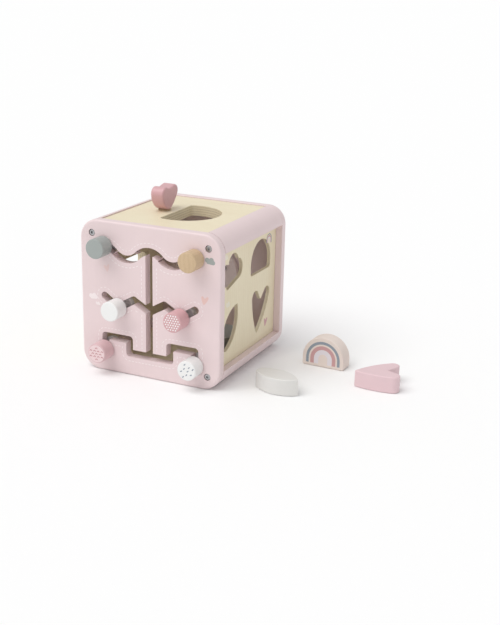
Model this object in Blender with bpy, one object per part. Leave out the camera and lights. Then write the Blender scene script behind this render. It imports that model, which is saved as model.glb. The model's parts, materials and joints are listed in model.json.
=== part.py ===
"""Wooden shape sorter cube with six sliding knobs, a turning heart, a turning dial and four blocks.

Metres, +Z up, +X to the right, +Y towards the back. The origin is the middle of the front plate's
underside. Two square plates are joined by four corner rails, and four panels close the sides.
"""

import math

import bmesh
import bpy
from mathutils import Matrix, Vector

MM = 0.001

# Overall cube
CUBE_W = 160 * MM
CUBE_H = 160 * MM
CUBE_D = 158 * MM

# Plates, rails and panels
PLATE_T = 9.5 * MM
PLATE_R = 20 * MM
PLATE_EDGE = 2 * MM
RAIL = 19 * MM
PANEL_T = 11.5 * MM
PANEL_DROP = 1.2 * MM
SHAPE_T = 4 * MM
SHAPE_DROP = 7.5 * MM
GROOVE = 3 * MM
GAP = 0.3 * MM

# Knobs: a turned knob in front, a spool through the slot, a screw from behind
KNOB_R = 10.25 * MM
KNOB_L = 17.5 * MM
KNOB_EDGE = 1.3 * MM
STEM_R = 3.6 * MM
STEM_PLAY = 0.45 * MM
STEM_SOCKET = 9 * MM
SPOOL_R = 9.8 * MM
SPOOL_T = 6 * MM
RUN_GAP = 0.8 * MM
SMALL_SHANK_R = 1.5 * MM
SMALL_HEAD_R = 3.1 * MM
SMALL_HEAD_T = 2 * MM
SMALL_BITE = 4 * MM

# Slots in the front plate: heights above the underside, distances from the middle
END_X = 52 * MM
WAVE_Z = 134.5 * MM
WAVE_DIP = 11.1 * MM
ZIG_X = (36 * MM, 17.6 * MM)
ZIG_Z = (81.8 * MM, 71.5 * MM, 71.9 * MM)
MAZE_X = 23.5 * MM
MAZE_Z = (PANEL_DROP + PANEL_T + SPOOL_R + 1.5 * MM, PANEL_DROP + PANEL_T + SPOOL_R + 15.8 * MM)

# Plate screws
SCREW_INSET = 13.9 * MM
SCREW_R = 1.75 * MM
SCREW_L = 30 * MM
SCREW_HEAD_R = 3.4 * MM
SCREW_HEAD_T = 3 * MM
SCREW_SINK = 0.5 * MM
SOCKET_R = 1.5 * MM
SOCKET_DEEP = 1.6 * MM

# Top: drop hole and heart knob
DROP_R = 37 * MM
DROP_FLAT_X = -12.5 * MM
HEART_X = -26 * MM
HEART_T = 15 * MM
PEG_R = 5 * MM
PEG_PLAY = 0.5 * MM
PEG_SOCKET = 8 * MM
WASHER_R = 7 * MM
WASHER_T = 1 * MM
KEEPER_R = 12 * MM
KEEPER_T = 6 * MM

# Left panel: way out for the blocks
DOOR_W = 63 * MM
DOOR_Z = (58 * MM, 102 * MM)
DOOR_R = 9 * MM

# Back: turning dial on a hub
DIAL_R = 32 * MM
DIAL_T = 8 * MM
DIAL_EDGE = 2 * MM
HUB_R = 20 * MM
HUB_PLAY = 0.5 * MM
DISC_R = 29 * MM
DISC_T = 6 * MM
DISC_SCREW_AT = 15 * MM
DISC_SCREW_TURN = math.radians(23)

# Blocks and the holes that take them
BLOCK_T = 17.5 * MM
BLOCK_PLAY = 1.25 * MM
LEAF_L = 50 * MM
LEAF_END_R = 8 * MM
LEAF_SIDE_R = 34 * MM
ARCH_W = 47.5 * MM
ARCH_H = 33 * MM
ARCH_FOOT_R = 2.5 * MM
CLOUD_PUFFS = (
    (14.5 * MM, -3.2 * MM, 9.25 * MM),
    (6.0 * MM, 5.5 * MM, 10.75 * MM),
    (-12.5 * MM, 2.5 * MM, 10.25 * MM),
    (-11.5 * MM, -9.7 * MM, 2.75 * MM),
)

# Lopsided hearts: right and left lobe as (across, up, radius, radius of the side below it), notch, round tip
GRIP_LOBES = ((9.2 * MM, 18.4 * MM, 6.6 * MM, 40 * MM), (-10 * MM, 17.4 * MM, 7.4 * MM, 20 * MM))
GRIP_NOTCH = (-3 * MM, 22.6 * MM)
GRIP_TIP = (-2.4 * MM, 8 * MM, 8 * MM)
LOVE_LOBES = ((14.5 * MM, 42 * MM, 6.5 * MM, 90 * MM), (-13.8 * MM, 36.6 * MM, 7.2 * MM, 90 * MM))
LOVE_NOTCH = (0, 34 * MM)
LOVE_TIP = (0, 2 * MM, 2 * MM)

ARC_STEP = math.radians(15)
TURN_STEPS = 28
SCREW_STEPS = 12

FRONT_Y = -PLATE_T / 2
BACK_Y = FRONT_Y + CUBE_D
MIDDLE_Y = FRONT_Y + CUBE_D / 2
INNER_FRONT_Y = FRONT_Y + PLATE_T
INNER_BACK_Y = BACK_Y - PLATE_T
HALF_W = CUBE_W / 2
SLOT_W = 2 * (STEM_R + STEM_PLAY)

COLOURS = {
    "pink_paint": ((0.76, 0.62, 0.62), 0.45),
    "plywood": ((0.78, 0.66, 0.46), 0.55),
    "beech": ((0.62, 0.47, 0.32), 0.5),
    "grey_paint": ((0.40, 0.42, 0.41), 0.45),
    "white_paint": ((0.86, 0.86, 0.85), 0.4),
    "rose_paint": ((0.66, 0.40, 0.41), 0.45),
    "pale_grey_paint": ((0.70, 0.70, 0.68), 0.45),
    "cream_paint": ((0.80, 0.70, 0.64), 0.45),
    "steel": ((0.55, 0.55, 0.56), 0.3),
}


def clear_scene():
    for obj in list(bpy.data.objects):
        bpy.data.objects.remove(obj, do_unlink=True)


def material(slot):
    """The Principled material of a finish, made the first time it is asked for."""
    if slot in bpy.data.materials:
        return bpy.data.materials[slot]
    colour, roughness = COLOURS[slot]
    made = bpy.data.materials.new(slot)
    made.use_nodes = True
    shader = made.node_tree.nodes["Principled BSDF"]
    shader.inputs["Base Color"].default_value = (*colour, 1)
    shader.inputs["Roughness"].default_value = roughness
    shader.inputs["Metallic"].default_value = 1.0 if slot == "steel" else 0.0
    return made


# Flat outlines: lists of (u, v) points, anticlockwise


def arc(centre, radius, start, end):
    """Points from start to end, in radians; a negative sweep runs clockwise."""
    count = max(1, math.ceil(abs(end - start) / ARC_STEP - 1e-6))
    turns = [start + (end - start) * i / count for i in range(count + 1)]
    return [(centre[0] + radius * math.cos(t), centre[1] + radius * math.sin(t)) for t in turns]


def rounded_box(low, high, radius):
    corners = (
        ((high[0] - radius, low[1] + radius), -90),
        ((high[0] - radius, high[1] - radius), 0),
        ((low[0] + radius, high[1] - radius), 90),
        ((low[0] + radius, low[1] + radius), 180),
    )
    points = []
    for centre, start in corners:
        points += arc(centre, radius, math.radians(start), math.radians(start + 90))
    return points


def box(low, high):
    return [low, (high[0], low[1]), high, (low[0], high[1])]


def turned(points, angle, shift=(0.0, 0.0)):
    """Points turned about the origin and then moved."""
    cos, sin = math.cos(angle), math.sin(angle)
    return [(u * cos - v * sin + shift[0], u * sin + v * cos + shift[1]) for u, v in points]


def without_repeats(points):
    kept = []
    for point in points:
        if not kept or math.dist(point, kept[-1]) > 1e-6:
            kept.append(point)
    if math.dist(kept[0], kept[-1]) < 1e-6:
        kept.pop()
    return kept


def widened(points, by):
    """The outline moved outwards by the given distance, with its corners kept sharp."""
    points = without_repeats(points)
    grown = []
    for i, here in enumerate(points):
        before, after = points[i - 1], points[(i + 1) % len(points)]
        first = Vector((here[1] - before[1], before[0] - here[0])).normalized()
        second = Vector((after[1] - here[1], here[0] - after[0])).normalized()
        corner = (first + second) / (1 + first.dot(second))
        grown.append((here[0] + by * corner.x, here[1] + by * corner.y))
    return grown


def routed(path, width):
    """The outline that a round cutter leaves along a path: round ends and outer corners."""
    half = width / 2
    path = [Vector(p) for p in path]
    ways = [(b - a).normalized() for a, b in zip(path, path[1:])]
    points = []
    for side in (1, -1):
        run = list(zip(path[1:-1], ways, ways[1:]))
        if side < 0:
            run = [(p, -after, -before) for p, before, after in reversed(run)]
        start, way = (path[0], ways[0]) if side > 0 else (path[-1], -ways[-1])
        heading = math.atan2(way.y, way.x)
        points += arc(start, half, heading + math.radians(90), heading + math.radians(270))
        for corner, before, after in run:
            turn = math.atan2(before.cross(after), before.dot(after))
            right = math.atan2(before.y, before.x) - math.radians(90)
            if turn > 0:
                points += arc(corner, half, right, right + turn)
            else:
                reach = half / math.cos(turn / 2)
                points += arc(corner, reach, right + turn / 2, right + turn / 2)[:1]
    return without_repeats(points)


def wave_path():
    """Arcs that run into each other: crests in the middle and at both ends, a dip between each two."""
    half_span = END_X / 4
    sweep = 2 * math.atan2(WAVE_DIP / 2, half_span)
    radius = half_span / math.sin(sweep)
    crest_z = WAVE_Z - radius
    dip_z = WAVE_Z - WAVE_DIP + radius
    up = math.radians(90)
    points = arc((-END_X, crest_z), radius, up, up - sweep)
    for x, centre_z, way in ((-END_X / 2, dip_z, -up), (0, crest_z, up), (END_X / 2, dip_z, -up)):
        swing = math.copysign(sweep, way)
        points += arc((x, centre_z), radius, way + swing, way - swing)[1:]
    points += arc((END_X, crest_z), radius, up + sweep, up)[1:]
    return points, radius, sweep


def zigzag_path():
    high, low, middle = ZIG_Z
    half = [(ZIG_X[0], low), (ZIG_X[1], high)]
    left = [(-END_X, high)] + [(-x, z) for x, z in half]
    right = [(x, z) for x, z in reversed(half)] + [(END_X, high)]
    return left + [(0, middle)] + right


def maze_path():
    low, high = MAZE_Z
    right = [(MAZE_X, low), (MAZE_X, high), (END_X, high), (END_X, low)]
    return [(-x, z) for x, z in reversed(right)] + right


def upright_path():
    return [(0, MAZE_Z[0]), (0, WAVE_Z)]


def leaf():
    """Pointed at +u, round at -u: an end circle and two side arcs that touch it and meet in the tip."""
    tip, end = LEAF_L / 2, -LEAF_L / 2 + LEAF_END_R
    inner = LEAF_SIDE_R - LEAF_END_R
    side_u = (LEAF_SIDE_R**2 - inner**2 + end**2 - tip**2) / (2 * (end - tip))
    side_v = math.sqrt(inner**2 - (side_u - end) ** 2)
    tip_turn = math.atan2(side_v, tip - side_u)
    end_turn = math.atan2(side_v, end - side_u)
    points = arc((side_u, -side_v), LEAF_SIDE_R, tip_turn, end_turn)
    points += arc((end, 0), LEAF_END_R, end_turn, math.radians(360) - end_turn)
    points += arc((side_u, side_v), LEAF_SIDE_R, -end_turn, -tip_turn)
    return without_repeats(points)


def arch():
    """Standing on v = 0, with its round top at v = ARCH_H."""
    half = ARCH_W / 2
    foot = ARCH_FOOT_R
    points = arc((half - foot, foot), foot, math.radians(-90), 0)
    points += arc((0, ARCH_H - half), half, 0, math.radians(180))
    points += arc((foot - half, foot), foot, math.radians(180), math.radians(270))
    return without_repeats(points)


def meeting(first, second):
    """Where two overlapping circles cross, to the right of the way from the first to the second."""
    way = Vector(second[:2]) - Vector(first[:2])
    along = (way.length_squared + first[2] ** 2 - second[2] ** 2) / (2 * way.length)
    aside = math.sqrt(first[2] ** 2 - along**2)
    way.normalize()
    return Vector(first[:2]) + along * way + aside * Vector((way.y, -way.x))


def heading(point, centre):
    return math.atan2(point[1] - centre[1], point[0] - centre[0])


def tangent_turns(point, centre, radius):
    """The two angles about the circle's centre where lines from an outside point touch it."""
    back = Vector(point) - Vector(centre)
    heading = math.atan2(back.y, back.x)
    spread = math.acos(radius / back.length)
    return heading - spread, heading + spread


def heart(lobes, notch, tip):
    """Bulging sides run from a round tip up into two round lobes, which fall straight to the notch."""
    right, left = lobes
    full = math.radians(360)
    right_side = meeting((*right[:2], right[3] - right[2]), (*tip[:2], right[3] - tip[2]))
    left_side = meeting((*tip[:2], left[3] - tip[2]), (*left[:2], left[3] - left[2]))
    right_low, right_high = heading(tip, right_side), heading(right, right_side)
    left_low, left_high = heading(tip, left_side) % full, heading(left, left_side) % full
    right_top = tangent_turns(notch, right[:2], right[2])[0] % full
    left_top = tangent_turns(notch, left[:2], left[2])[1] % full
    points = arc(tip, tip[2], left_low - full, right_low)
    points += arc(right_side, right[3], right_low, right_high)
    points += arc(right, right[2], right_high, right_top)
    points += [notch]
    points += arc(left, left[2], left_top, left_high)
    points += arc(left_side, left[3], left_high, left_low)
    return without_repeats(points)


def cloud(play=0.0):
    """Round puffs that run into each other, and a flat underside that touches the first and the last."""
    puffs = [(u, v, radius + play) for u, v, radius in CLOUD_PUFFS]
    corners = [meeting(one, other) for one, other in zip(puffs, puffs[1:])]
    down = math.radians(-90)
    starts = [down] + [heading(c, puff) for c, puff in zip(corners, puffs[1:])]
    ends = [heading(c, puff) for c, puff in zip(corners, puffs)] + [down]
    points = []
    for puff, start, end in zip(puffs, starts, ends):
        points += arc(puff, puff[2], start, start + (end - start) % math.radians(360))
    return without_repeats(points)


# Solids

PLANES = {
    "X": Matrix(((0, 0, 1), (1, 0, 0), (0, 1, 0))),
    "Y": Matrix(((1, 0, 0), (0, 0, 1), (0, 1, 0))),
    "Z": Matrix.Identity(3),
}


def finish_mesh(name, mesh, slot, place=None):
    """Closes a bmesh into an object, with its faces pointing out."""
    bmesh.ops.remove_doubles(mesh, verts=mesh.verts, dist=1e-7)
    bmesh.ops.recalc_face_normals(mesh, faces=mesh.faces)
    data = bpy.data.meshes.new(name)
    mesh.to_mesh(data)
    mesh.free()
    data.shade_smooth()
    data.set_sharp_from_angle(angle=math.radians(35))
    obj = bpy.data.objects.new(name, data)
    bpy.context.scene.collection.objects.link(obj)
    if slot:
        data.materials.append(material(slot))
    if place is not None:
        obj.location = place
    return obj


def prism(name, outline, normal, low, high, slot=None, place=None):
    """An outline in the plane across X, Y or Z, extruded from low to high along that axis."""
    mesh = bmesh.new()
    turn = PLANES[normal]
    corners = [mesh.verts.new(turn @ Vector((u, v, low))) for u, v in without_repeats(outline)]
    face = mesh.faces.new(corners)
    grown = bmesh.ops.extrude_face_region(mesh, geom=[face])["geom"]
    moved = [item for item in grown if isinstance(item, bmesh.types.BMVert)]
    bmesh.ops.translate(mesh, verts=moved, vec=turn @ Vector((0, 0, high - low)))
    return finish_mesh(name, mesh, slot, place)


def lathe(name, profile, axis, place, slot=None, steps=TURN_STEPS):
    """A closed profile of (radius, distance) points, spun about an axis through place."""
    mesh = bmesh.new()
    verts = [mesh.verts.new((radius, 0, along)) for radius, along in profile]
    edges = [mesh.edges.new(pair) for pair in zip(verts, verts[1:])]
    if profile[0][0] > 0:
        edges.append(mesh.edges.new((verts[-1], verts[0])))
    spun = {"axis": (0, 0, 1), "cent": (0, 0, 0), "angle": math.radians(360)}
    bmesh.ops.spin(mesh, geom=verts + edges, steps=steps, use_merge=True, **spun)
    bmesh.ops.remove_doubles(mesh, verts=mesh.verts, dist=1e-7)
    bmesh.ops.dissolve_degenerate(mesh, edges=mesh.edges, dist=1e-7)
    bmesh.ops.rotate(mesh, verts=mesh.verts, matrix=Vector(axis).to_track_quat("Z", "Y").to_matrix())
    return finish_mesh(name, mesh, slot, place)


def cut(obj, *cutters):
    """Cuts each helper solid out of an object and hides the helper."""
    for cutter in cutters:
        cutter.hide_render = True
        cutter.display_type = "WIRE"
        tool = obj.modifiers.new(cutter.name, "BOOLEAN")
        tool.operation = "DIFFERENCE"
        tool.object = cutter


def soften(obj, width, segments=2, angle=50):
    """Rounds the sharp edges of an object; it comes before any cut."""
    tool = obj.modifiers.new("rounded_edges", "BEVEL")
    tool.width = width
    tool.segments = segments
    tool.limit_method = "ANGLE"
    tool.angle_limit = math.radians(angle)


def pivot(name, place):
    empty = bpy.data.objects.new(name, None)
    empty.empty_display_size = 0.01
    empty.location = place
    bpy.context.scene.collection.objects.link(empty)
    return empty


def carry(holder, *pieces):
    """Parents pieces to a pivot, where they stand."""
    for piece in pieces:
        piece.parent = holder
        piece.location = piece.location - holder.location


# The case


def plate(name, low_y, head_way):
    """A rounded square plate with a stepped hole for each corner screw."""
    outline = rounded_box((-HALF_W, 0), (HALF_W, CUBE_H), PLATE_R)
    made = prism(name, outline, "Y", low_y, low_y + PLATE_T, "pink_paint")
    soften(made, PLATE_EDGE)
    face_y = low_y + (PLATE_T if head_way > 0 else 0)
    for corner, x, z in screw_corners():
        bore, seat = SCREW_R + GAP, SCREW_HEAD_R + GAP
        deep = SCREW_SINK + SCREW_HEAD_T + GAP
        out = PLATE_T
        steps = [(0, -out), (seat, -out), (seat, deep), (bore, deep), (bore, 2 * out), (0, 2 * out)]
        cutter = f"{name}_hole_{corner}"
        cut(made, lathe(cutter, steps, (0, -head_way, 0), (x, face_y, z), None, SCREW_STEPS))
    return made


def screw_corners():
    reach = HALF_W - SCREW_INSET
    for side, x in (("left", -reach), ("right", reach)):
        for level, z in (("bottom", SCREW_INSET), ("top", CUBE_H - SCREW_INSET)):
            yield f"{level}_{side}", x, z


def front_plate():
    made = plate("front_plate", FRONT_Y, -1)
    low, high = FRONT_Y - PLATE_T, FRONT_Y + 2 * PLATE_T
    paths = {
        "wave_slot": wave_path()[0],
        "upright_slot": upright_path(),
        "zigzag_slot": zigzag_path(),
        "maze_slot": maze_path(),
    }
    for name, path in paths.items():
        cut(made, prism(name, routed(path, SLOT_W), "Y", low, high))


def back_plate():
    made = plate("back_plate", INNER_BACK_Y, 1)
    reach = 2 * PLATE_T
    bore = [(0, -reach), (HUB_R + HUB_PLAY, -reach), (HUB_R + HUB_PLAY, reach), (0, reach)]
    cut(made, lathe("hub_bore", bore, (0, 1, 0), (0, INNER_BACK_Y, CUBE_H / 2)))


def rail_outline(side, level):
    """A quarter-round corner; the right-hand rails have a groove for the thin shape panel."""
    half = HALF_W
    bend = math.acos((PLATE_R - RAIL) / PLATE_R)
    start = math.radians(90) - bend
    points = [(half - RAIL, CUBE_H - RAIL)]
    if side > 0:
        outer, inner = half - SHAPE_DROP + GAP, half - SHAPE_DROP - SHAPE_T - GAP
        base, deep = CUBE_H - RAIL, CUBE_H - RAIL + GROOVE
        points += [(inner, base), (inner, deep), (outer, deep), (outer, base)]
    points += arc((half - PLATE_R, CUBE_H - PLATE_R), PLATE_R, start, math.radians(90) - start)
    points = [(side * u, v if level > 0 else CUBE_H - v) for u, v in points]
    return points


def rails():
    low, high = INNER_FRONT_Y + GAP, INNER_BACK_Y - GAP
    for corner, x, z in screw_corners():
        side, level = math.copysign(1, x), 1 if z > CUBE_H / 2 else -1
        made = prism(f"rail_{corner}", rail_outline(side, level), "Y", low, high, "pink_paint")
        depth = SCREW_L + GAP
        for end, y, way in (("front", FRONT_Y, 1), ("back", BACK_Y, -1)):
            bore = [(0, 0), (SCREW_R + GAP, 0), (SCREW_R + GAP, depth), (0, depth)]
            name = f"pilot_{corner}_{end}"
            cut(made, lathe(name, bore, (0, way, 0), (x, y, z), None, SCREW_STEPS))


def plate_screws():
    top, shoulder = SCREW_SINK, SCREW_SINK + SCREW_HEAD_T
    profile = [
        (0, top + SOCKET_DEEP),
        (SOCKET_R, top + SOCKET_DEEP),
        (SOCKET_R, top),
        (SCREW_HEAD_R - 0.4 * MM, top),
        (SCREW_HEAD_R, top + 0.4 * MM),
        (SCREW_HEAD_R, shoulder),
        (SCREW_R, shoulder),
        (SCREW_R, SCREW_L - SCREW_R),
        (0, SCREW_L),
    ]
    for end, y, way in (("front", FRONT_Y, 1), ("back", BACK_Y, -1)):
        for corner, x, z in screw_corners():
            name = f"screw_{end}_{corner}"
            lathe(name, profile, (0, way, 0), (x, y, z), "steel", SCREW_STEPS)


def side_hole_outlines():
    """Each block's outline, widened by its play, where its hole is in the right-hand panel (y, z)."""
    front = FRONT_Y
    return {
        "cloud_hole": turned(cloud(BLOCK_PLAY), math.radians(15), (front + 39.5 * MM, 114 * MM)),
        "arch_hole": turned(widened(arch(), BLOCK_PLAY), 0, (front + 110 * MM, 98.5 * MM)),
        "heart_hole": turned(
            widened(heart(LOVE_LOBES, LOVE_NOTCH, LOVE_TIP), BLOCK_PLAY),
            math.radians(-13),
            (front + 103.7 * MM, 31.6 * MM),
        ),
        "leaf_hole": turned(widened(leaf(), BLOCK_PLAY), math.radians(54), (front + 38.5 * MM, 56 * MM)),
    }


def shape_panel():
    """The thin right-hand panel, held in the grooves of the rails."""
    low = (INNER_FRONT_Y + GAP, RAIL - GROOVE + GAP)
    high = (INNER_BACK_Y - GAP, CUBE_H - RAIL + GROOVE - GAP)
    outer = HALF_W - SHAPE_DROP
    made = prism("shape_panel", box(low, high), "X", outer - SHAPE_T, outer, "plywood")
    for name, outline in side_hole_outlines().items():
        cut(made, prism(name, outline, "X", outer - 2 * SHAPE_T, outer + SHAPE_T))


def flat_panel_box():
    reach = HALF_W - RAIL - GAP
    return box((-reach, INNER_FRONT_Y + GAP), (reach, INNER_BACK_Y - GAP))


def top_panel():
    top = CUBE_H - PANEL_DROP
    made = prism("top_panel", flat_panel_box(), "Z", top - PANEL_T, top, "plywood")
    bend = math.acos(DROP_FLAT_X / DROP_R)
    hole = arc((0, MIDDLE_Y), DROP_R, -bend, bend)
    low, high = top - 2 * PANEL_T, top + PANEL_T
    cut(made, prism("drop_hole", hole, "Z", low, high))
    bore_r = PEG_R + PEG_PLAY
    bore = [(0, low), (bore_r, low), (bore_r, high), (0, high)]
    cut(made, lathe("peg_bore", bore, (0, 0, 1), (HEART_X, MIDDLE_Y, 0)))


def bottom_panel():
    prism("bottom_panel", flat_panel_box(), "Z", PANEL_DROP, PANEL_DROP + PANEL_T, "plywood")


def door_panel():
    """The thick left-hand panel, with the opening that the blocks are taken out through."""
    outer = -HALF_W + PANEL_DROP
    low = (INNER_FRONT_Y + GAP, RAIL + GAP)
    high = (INNER_BACK_Y - GAP, CUBE_H - RAIL - GAP)
    made = prism("door_panel", box(low, high), "X", outer, outer + PANEL_T, "plywood")
    half = DOOR_W / 2
    opening = rounded_box((MIDDLE_Y - half, DOOR_Z[0]), (MIDDLE_Y + half, DOOR_Z[1]), DOOR_R)
    cut(made, prism("door_opening", opening, "X", outer - PANEL_T, outer + 2 * PANEL_T))


# The moving pieces


def knob_profile():
    """From the pilot hole, round the knob, to the middle of its face."""
    stem, pilot = STEM_R + GAP, SMALL_SHANK_R + GAP
    pilot_end = STEM_SOCKET + SMALL_BITE + 2 * GAP
    edge = KNOB_EDGE
    profile = [(0, pilot_end), (pilot, pilot_end), (pilot, STEM_SOCKET), (stem, STEM_SOCKET), (stem, 0)]
    profile += [(KNOB_R - edge / 2, 0), (KNOB_R, edge / 2)]
    centre = (KNOB_R - edge, KNOB_L - edge)
    steps = 2
    for i in range(steps + 1):
        turn = math.radians(90) * i / steps
        profile.append((centre[0] + edge * math.cos(turn), centre[1] + edge * math.sin(turn)))
    return profile + [(0, KNOB_L)]


def spool_profile():
    """A stem with a disc behind the plate; distances are from the back of the knob, outwards."""
    bore = SMALL_SHANK_R + GAP
    disc_front = -(PLATE_T + 2 * RUN_GAP)
    disc_back = disc_front - SPOOL_T
    end = STEM_SOCKET - GAP
    return [
        (bore, disc_back),
        (SPOOL_R, disc_back),
        (SPOOL_R, disc_front),
        (STEM_R, disc_front),
        (STEM_R, end),
        (bore, end),
    ]


def small_screw_profile(seat, end):
    """A round-headed screw that stands on seat and ends at end, pointing outwards."""
    head = seat - GAP
    back = head - SMALL_HEAD_T
    return [
        (0, back),
        (SMALL_HEAD_R - SMALL_HEAD_T / 2, back),
        (SMALL_HEAD_R, back + SMALL_HEAD_T / 2),
        (SMALL_HEAD_R, head),
        (SMALL_SHANK_R, head),
        (SMALL_SHANK_R, end - SMALL_SHANK_R),
        (0, end),
    ]


def knob_seats():
    """Name, place in the plate, finish, and the pivot's place for each knob."""
    _, wave_r, _ = wave_path()
    crest = WAVE_Z - wave_r
    low, high = MAZE_Z[0], ZIG_Z[1]
    return [
        ("grey_knob", -END_X, WAVE_Z, "grey_paint", (-END_X, crest)),
        ("beech_knob", END_X, WAVE_Z, "beech", (END_X, crest)),
        ("white_knob", -ZIG_X[0], high, "white_paint", (-ZIG_X[0], high)),
        ("dotted_knob", ZIG_X[0], high, "rose_paint", (ZIG_X[0], high)),
        ("chevron_knob", -END_X, low, "rose_paint", (-END_X, low)),
        ("dashed_knob", END_X, low, "white_paint", (END_X, low)),
    ]


def knobs():
    outwards = (0, -1, 0)
    for name, x, z, slot, turn_at in knob_seats():
        stem = name.replace("knob", "spool")
        place = Vector((x, FRONT_Y - RUN_GAP, z))
        made = [lathe(name, knob_profile(), outwards, place, slot)]
        made.append(lathe(stem, spool_profile(), outwards, place, "grey_paint"))
        seat = spool_profile()[0][1]
        screw = small_screw_profile(seat, STEM_SOCKET + SMALL_BITE)
        screw_name = name.replace("knob", "knob_screw")
        made.append(lathe(screw_name, screw, outwards, place, "steel", SCREW_STEPS))
        carry(pivot(f"{name}_pivot", Vector((turn_at[0], 0, turn_at[1]))), *made)


def heart_knob():
    """A heart on a peg that turns in the top panel, held by a disc below it."""
    top = CUBE_H - PANEL_DROP
    foot = top + WASHER_T + 2 * GAP
    half = HEART_T / 2
    centre = Vector((HEART_X, MIDDLE_Y, 0))
    grip = heart(GRIP_LOBES, GRIP_NOTCH, GRIP_TIP)
    body = prism("heart_knob", grip, "X", -half, half, "rose_paint", centre + Vector((0, 0, foot)))
    soften(body, 1.2 * MM)
    socket_r = PEG_R + GAP
    pin = [(0, -GAP), (socket_r, -GAP), (socket_r, PEG_SOCKET), (0, PEG_SOCKET)]
    cut(body, lathe("heart_socket", pin, (0, 0, 1), centre + Vector((0, 0, foot))))
    washer = [(PEG_R + GAP, 0), (WASHER_R, 0), (WASHER_R, WASHER_T), (PEG_R + GAP, WASHER_T)]
    ring = lathe("heart_washer", washer, (0, 0, 1), centre + Vector((0, 0, top + GAP)), "beech")
    under = top - PANEL_T
    shank_r, bite = SMALL_SHANK_R + GAP, 12 * MM
    length = foot + PEG_SOCKET - GAP - under
    peg = [(0, bite), (shank_r, bite), (shank_r, 0), (PEG_R, 0), (PEG_R, length), (0, length)]
    dowel = lathe("heart_peg", peg, (0, 0, 1), centre + Vector((0, 0, under)), "beech")
    keeper = [(shank_r, 0), (KEEPER_R, 0), (KEEPER_R, KEEPER_T), (shank_r, KEEPER_T)]
    drop = under - RUN_GAP - KEEPER_T
    disc = lathe("heart_keeper", keeper, (0, 0, 1), centre + Vector((0, 0, drop)), "beech")
    screw = small_screw_profile(0, bite - GAP + RUN_GAP + KEEPER_T)
    bolt = lathe("heart_screw", screw, (0, 0, 1), centre + Vector((0, 0, drop)), "steel", SCREW_STEPS)
    carry(pivot("heart_pivot", centre), body, ring, dowel, disc, bolt)


def dial_screw_places():
    for name, turn in (("a", DISC_SCREW_TURN), ("b", DISC_SCREW_TURN + math.radians(180))):
        yield name, DISC_SCREW_AT * math.cos(turn), CUBE_H / 2 + DISC_SCREW_AT * math.sin(turn)


def back_dial():
    """A dial outside the back plate; its hub turns in the plate, and a disc inside keeps it there."""
    centre = Vector((0, BACK_Y + RUN_GAP, CUBE_H / 2))
    edge = DIAL_EDGE
    hub_end = -(PLATE_T + 2 * RUN_GAP)
    profile = [(0, hub_end), (HUB_R, hub_end), (HUB_R, 0), (DIAL_R - edge / 2, 0), (DIAL_R, edge / 2)]
    profile += [(DIAL_R, DIAL_T - edge), (DIAL_R - edge * 0.3, DIAL_T - edge * 0.3)]
    profile += [(DIAL_R - edge, DIAL_T), (0, DIAL_T)]
    dial = lathe("back_dial", profile, (0, 1, 0), centre, "rose_paint")
    disc_front = hub_end - GAP
    disc_back = disc_front - DISC_T
    ring = [(0, disc_back), (DISC_R, disc_back), (DISC_R, disc_front), (0, disc_front)]
    disc = lathe("back_disc", ring, (0, 1, 0), centre, "pink_paint")
    made = [dial, disc]
    bite = 10 * MM
    for name, x, z in dial_screw_places():
        place = Vector((x, centre.y, z))
        bore_r = SMALL_SHANK_R + GAP
        start, end = disc_back - GAP, disc_front + bite + GAP
        bore = [(0, start), (bore_r, start), (bore_r, end), (0, end)]
        hole = lathe(f"dial_pilot_{name}", bore, (0, 1, 0), place, None, SCREW_STEPS)
        cut(dial, hole)
        cut(disc, hole)
        screw = small_screw_profile(disc_back, disc_front + bite)
        made.append(lathe(f"dial_screw_{name}", screw, (0, 1, 0), place, "steel", SCREW_STEPS))
    carry(pivot("dial_pivot", centre), *made)


# The loose blocks


def block(name, outline, normal, place, turn, slot):
    made = prism(name, outline, normal, 0, BLOCK_T, slot, place)
    soften(made, 1.2 * MM)
    made.rotation_euler = (0, 0, turn)
    return made


def blocks():
    front = FRONT_Y
    block("leaf_block", leaf(), "Z", (128.4 * MM, front + 33.1 * MM, 0), math.radians(-12), "pale_grey_paint")
    arch_place = (145.6 * MM, front + 114.7 * MM, 0)
    block("rainbow_block", arch(), "Y", arch_place, math.radians(-2.4), "cream_paint")
    face_down = [(-u, v) for u, v in reversed(heart(LOVE_LOBES, LOVE_NOTCH, LOVE_TIP))]
    love_place = (193.6 * MM, front + 80.5 * MM, 0)
    block("heart_block", face_down, "Z", love_place, math.radians(28 - 90), "rose_paint")
    inside = (39.6 * MM, front + 92.7 * MM, PANEL_DROP + PANEL_T + GAP)
    block("cloud_block", cloud(), "Z", inside, math.radians(-54), "grey_paint")


def build():
    clear_scene()
    front_plate()
    back_plate()
    rails()
    plate_screws()
    top_panel()
    bottom_panel()
    shape_panel()
    door_panel()
    knobs()
    heart_knob()
    back_dial()
    blocks()


build()
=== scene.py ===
"""Dresses a painted wooden shape sorter cube: pieces, prints, wood, paint, floor, lights and camera."""

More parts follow.
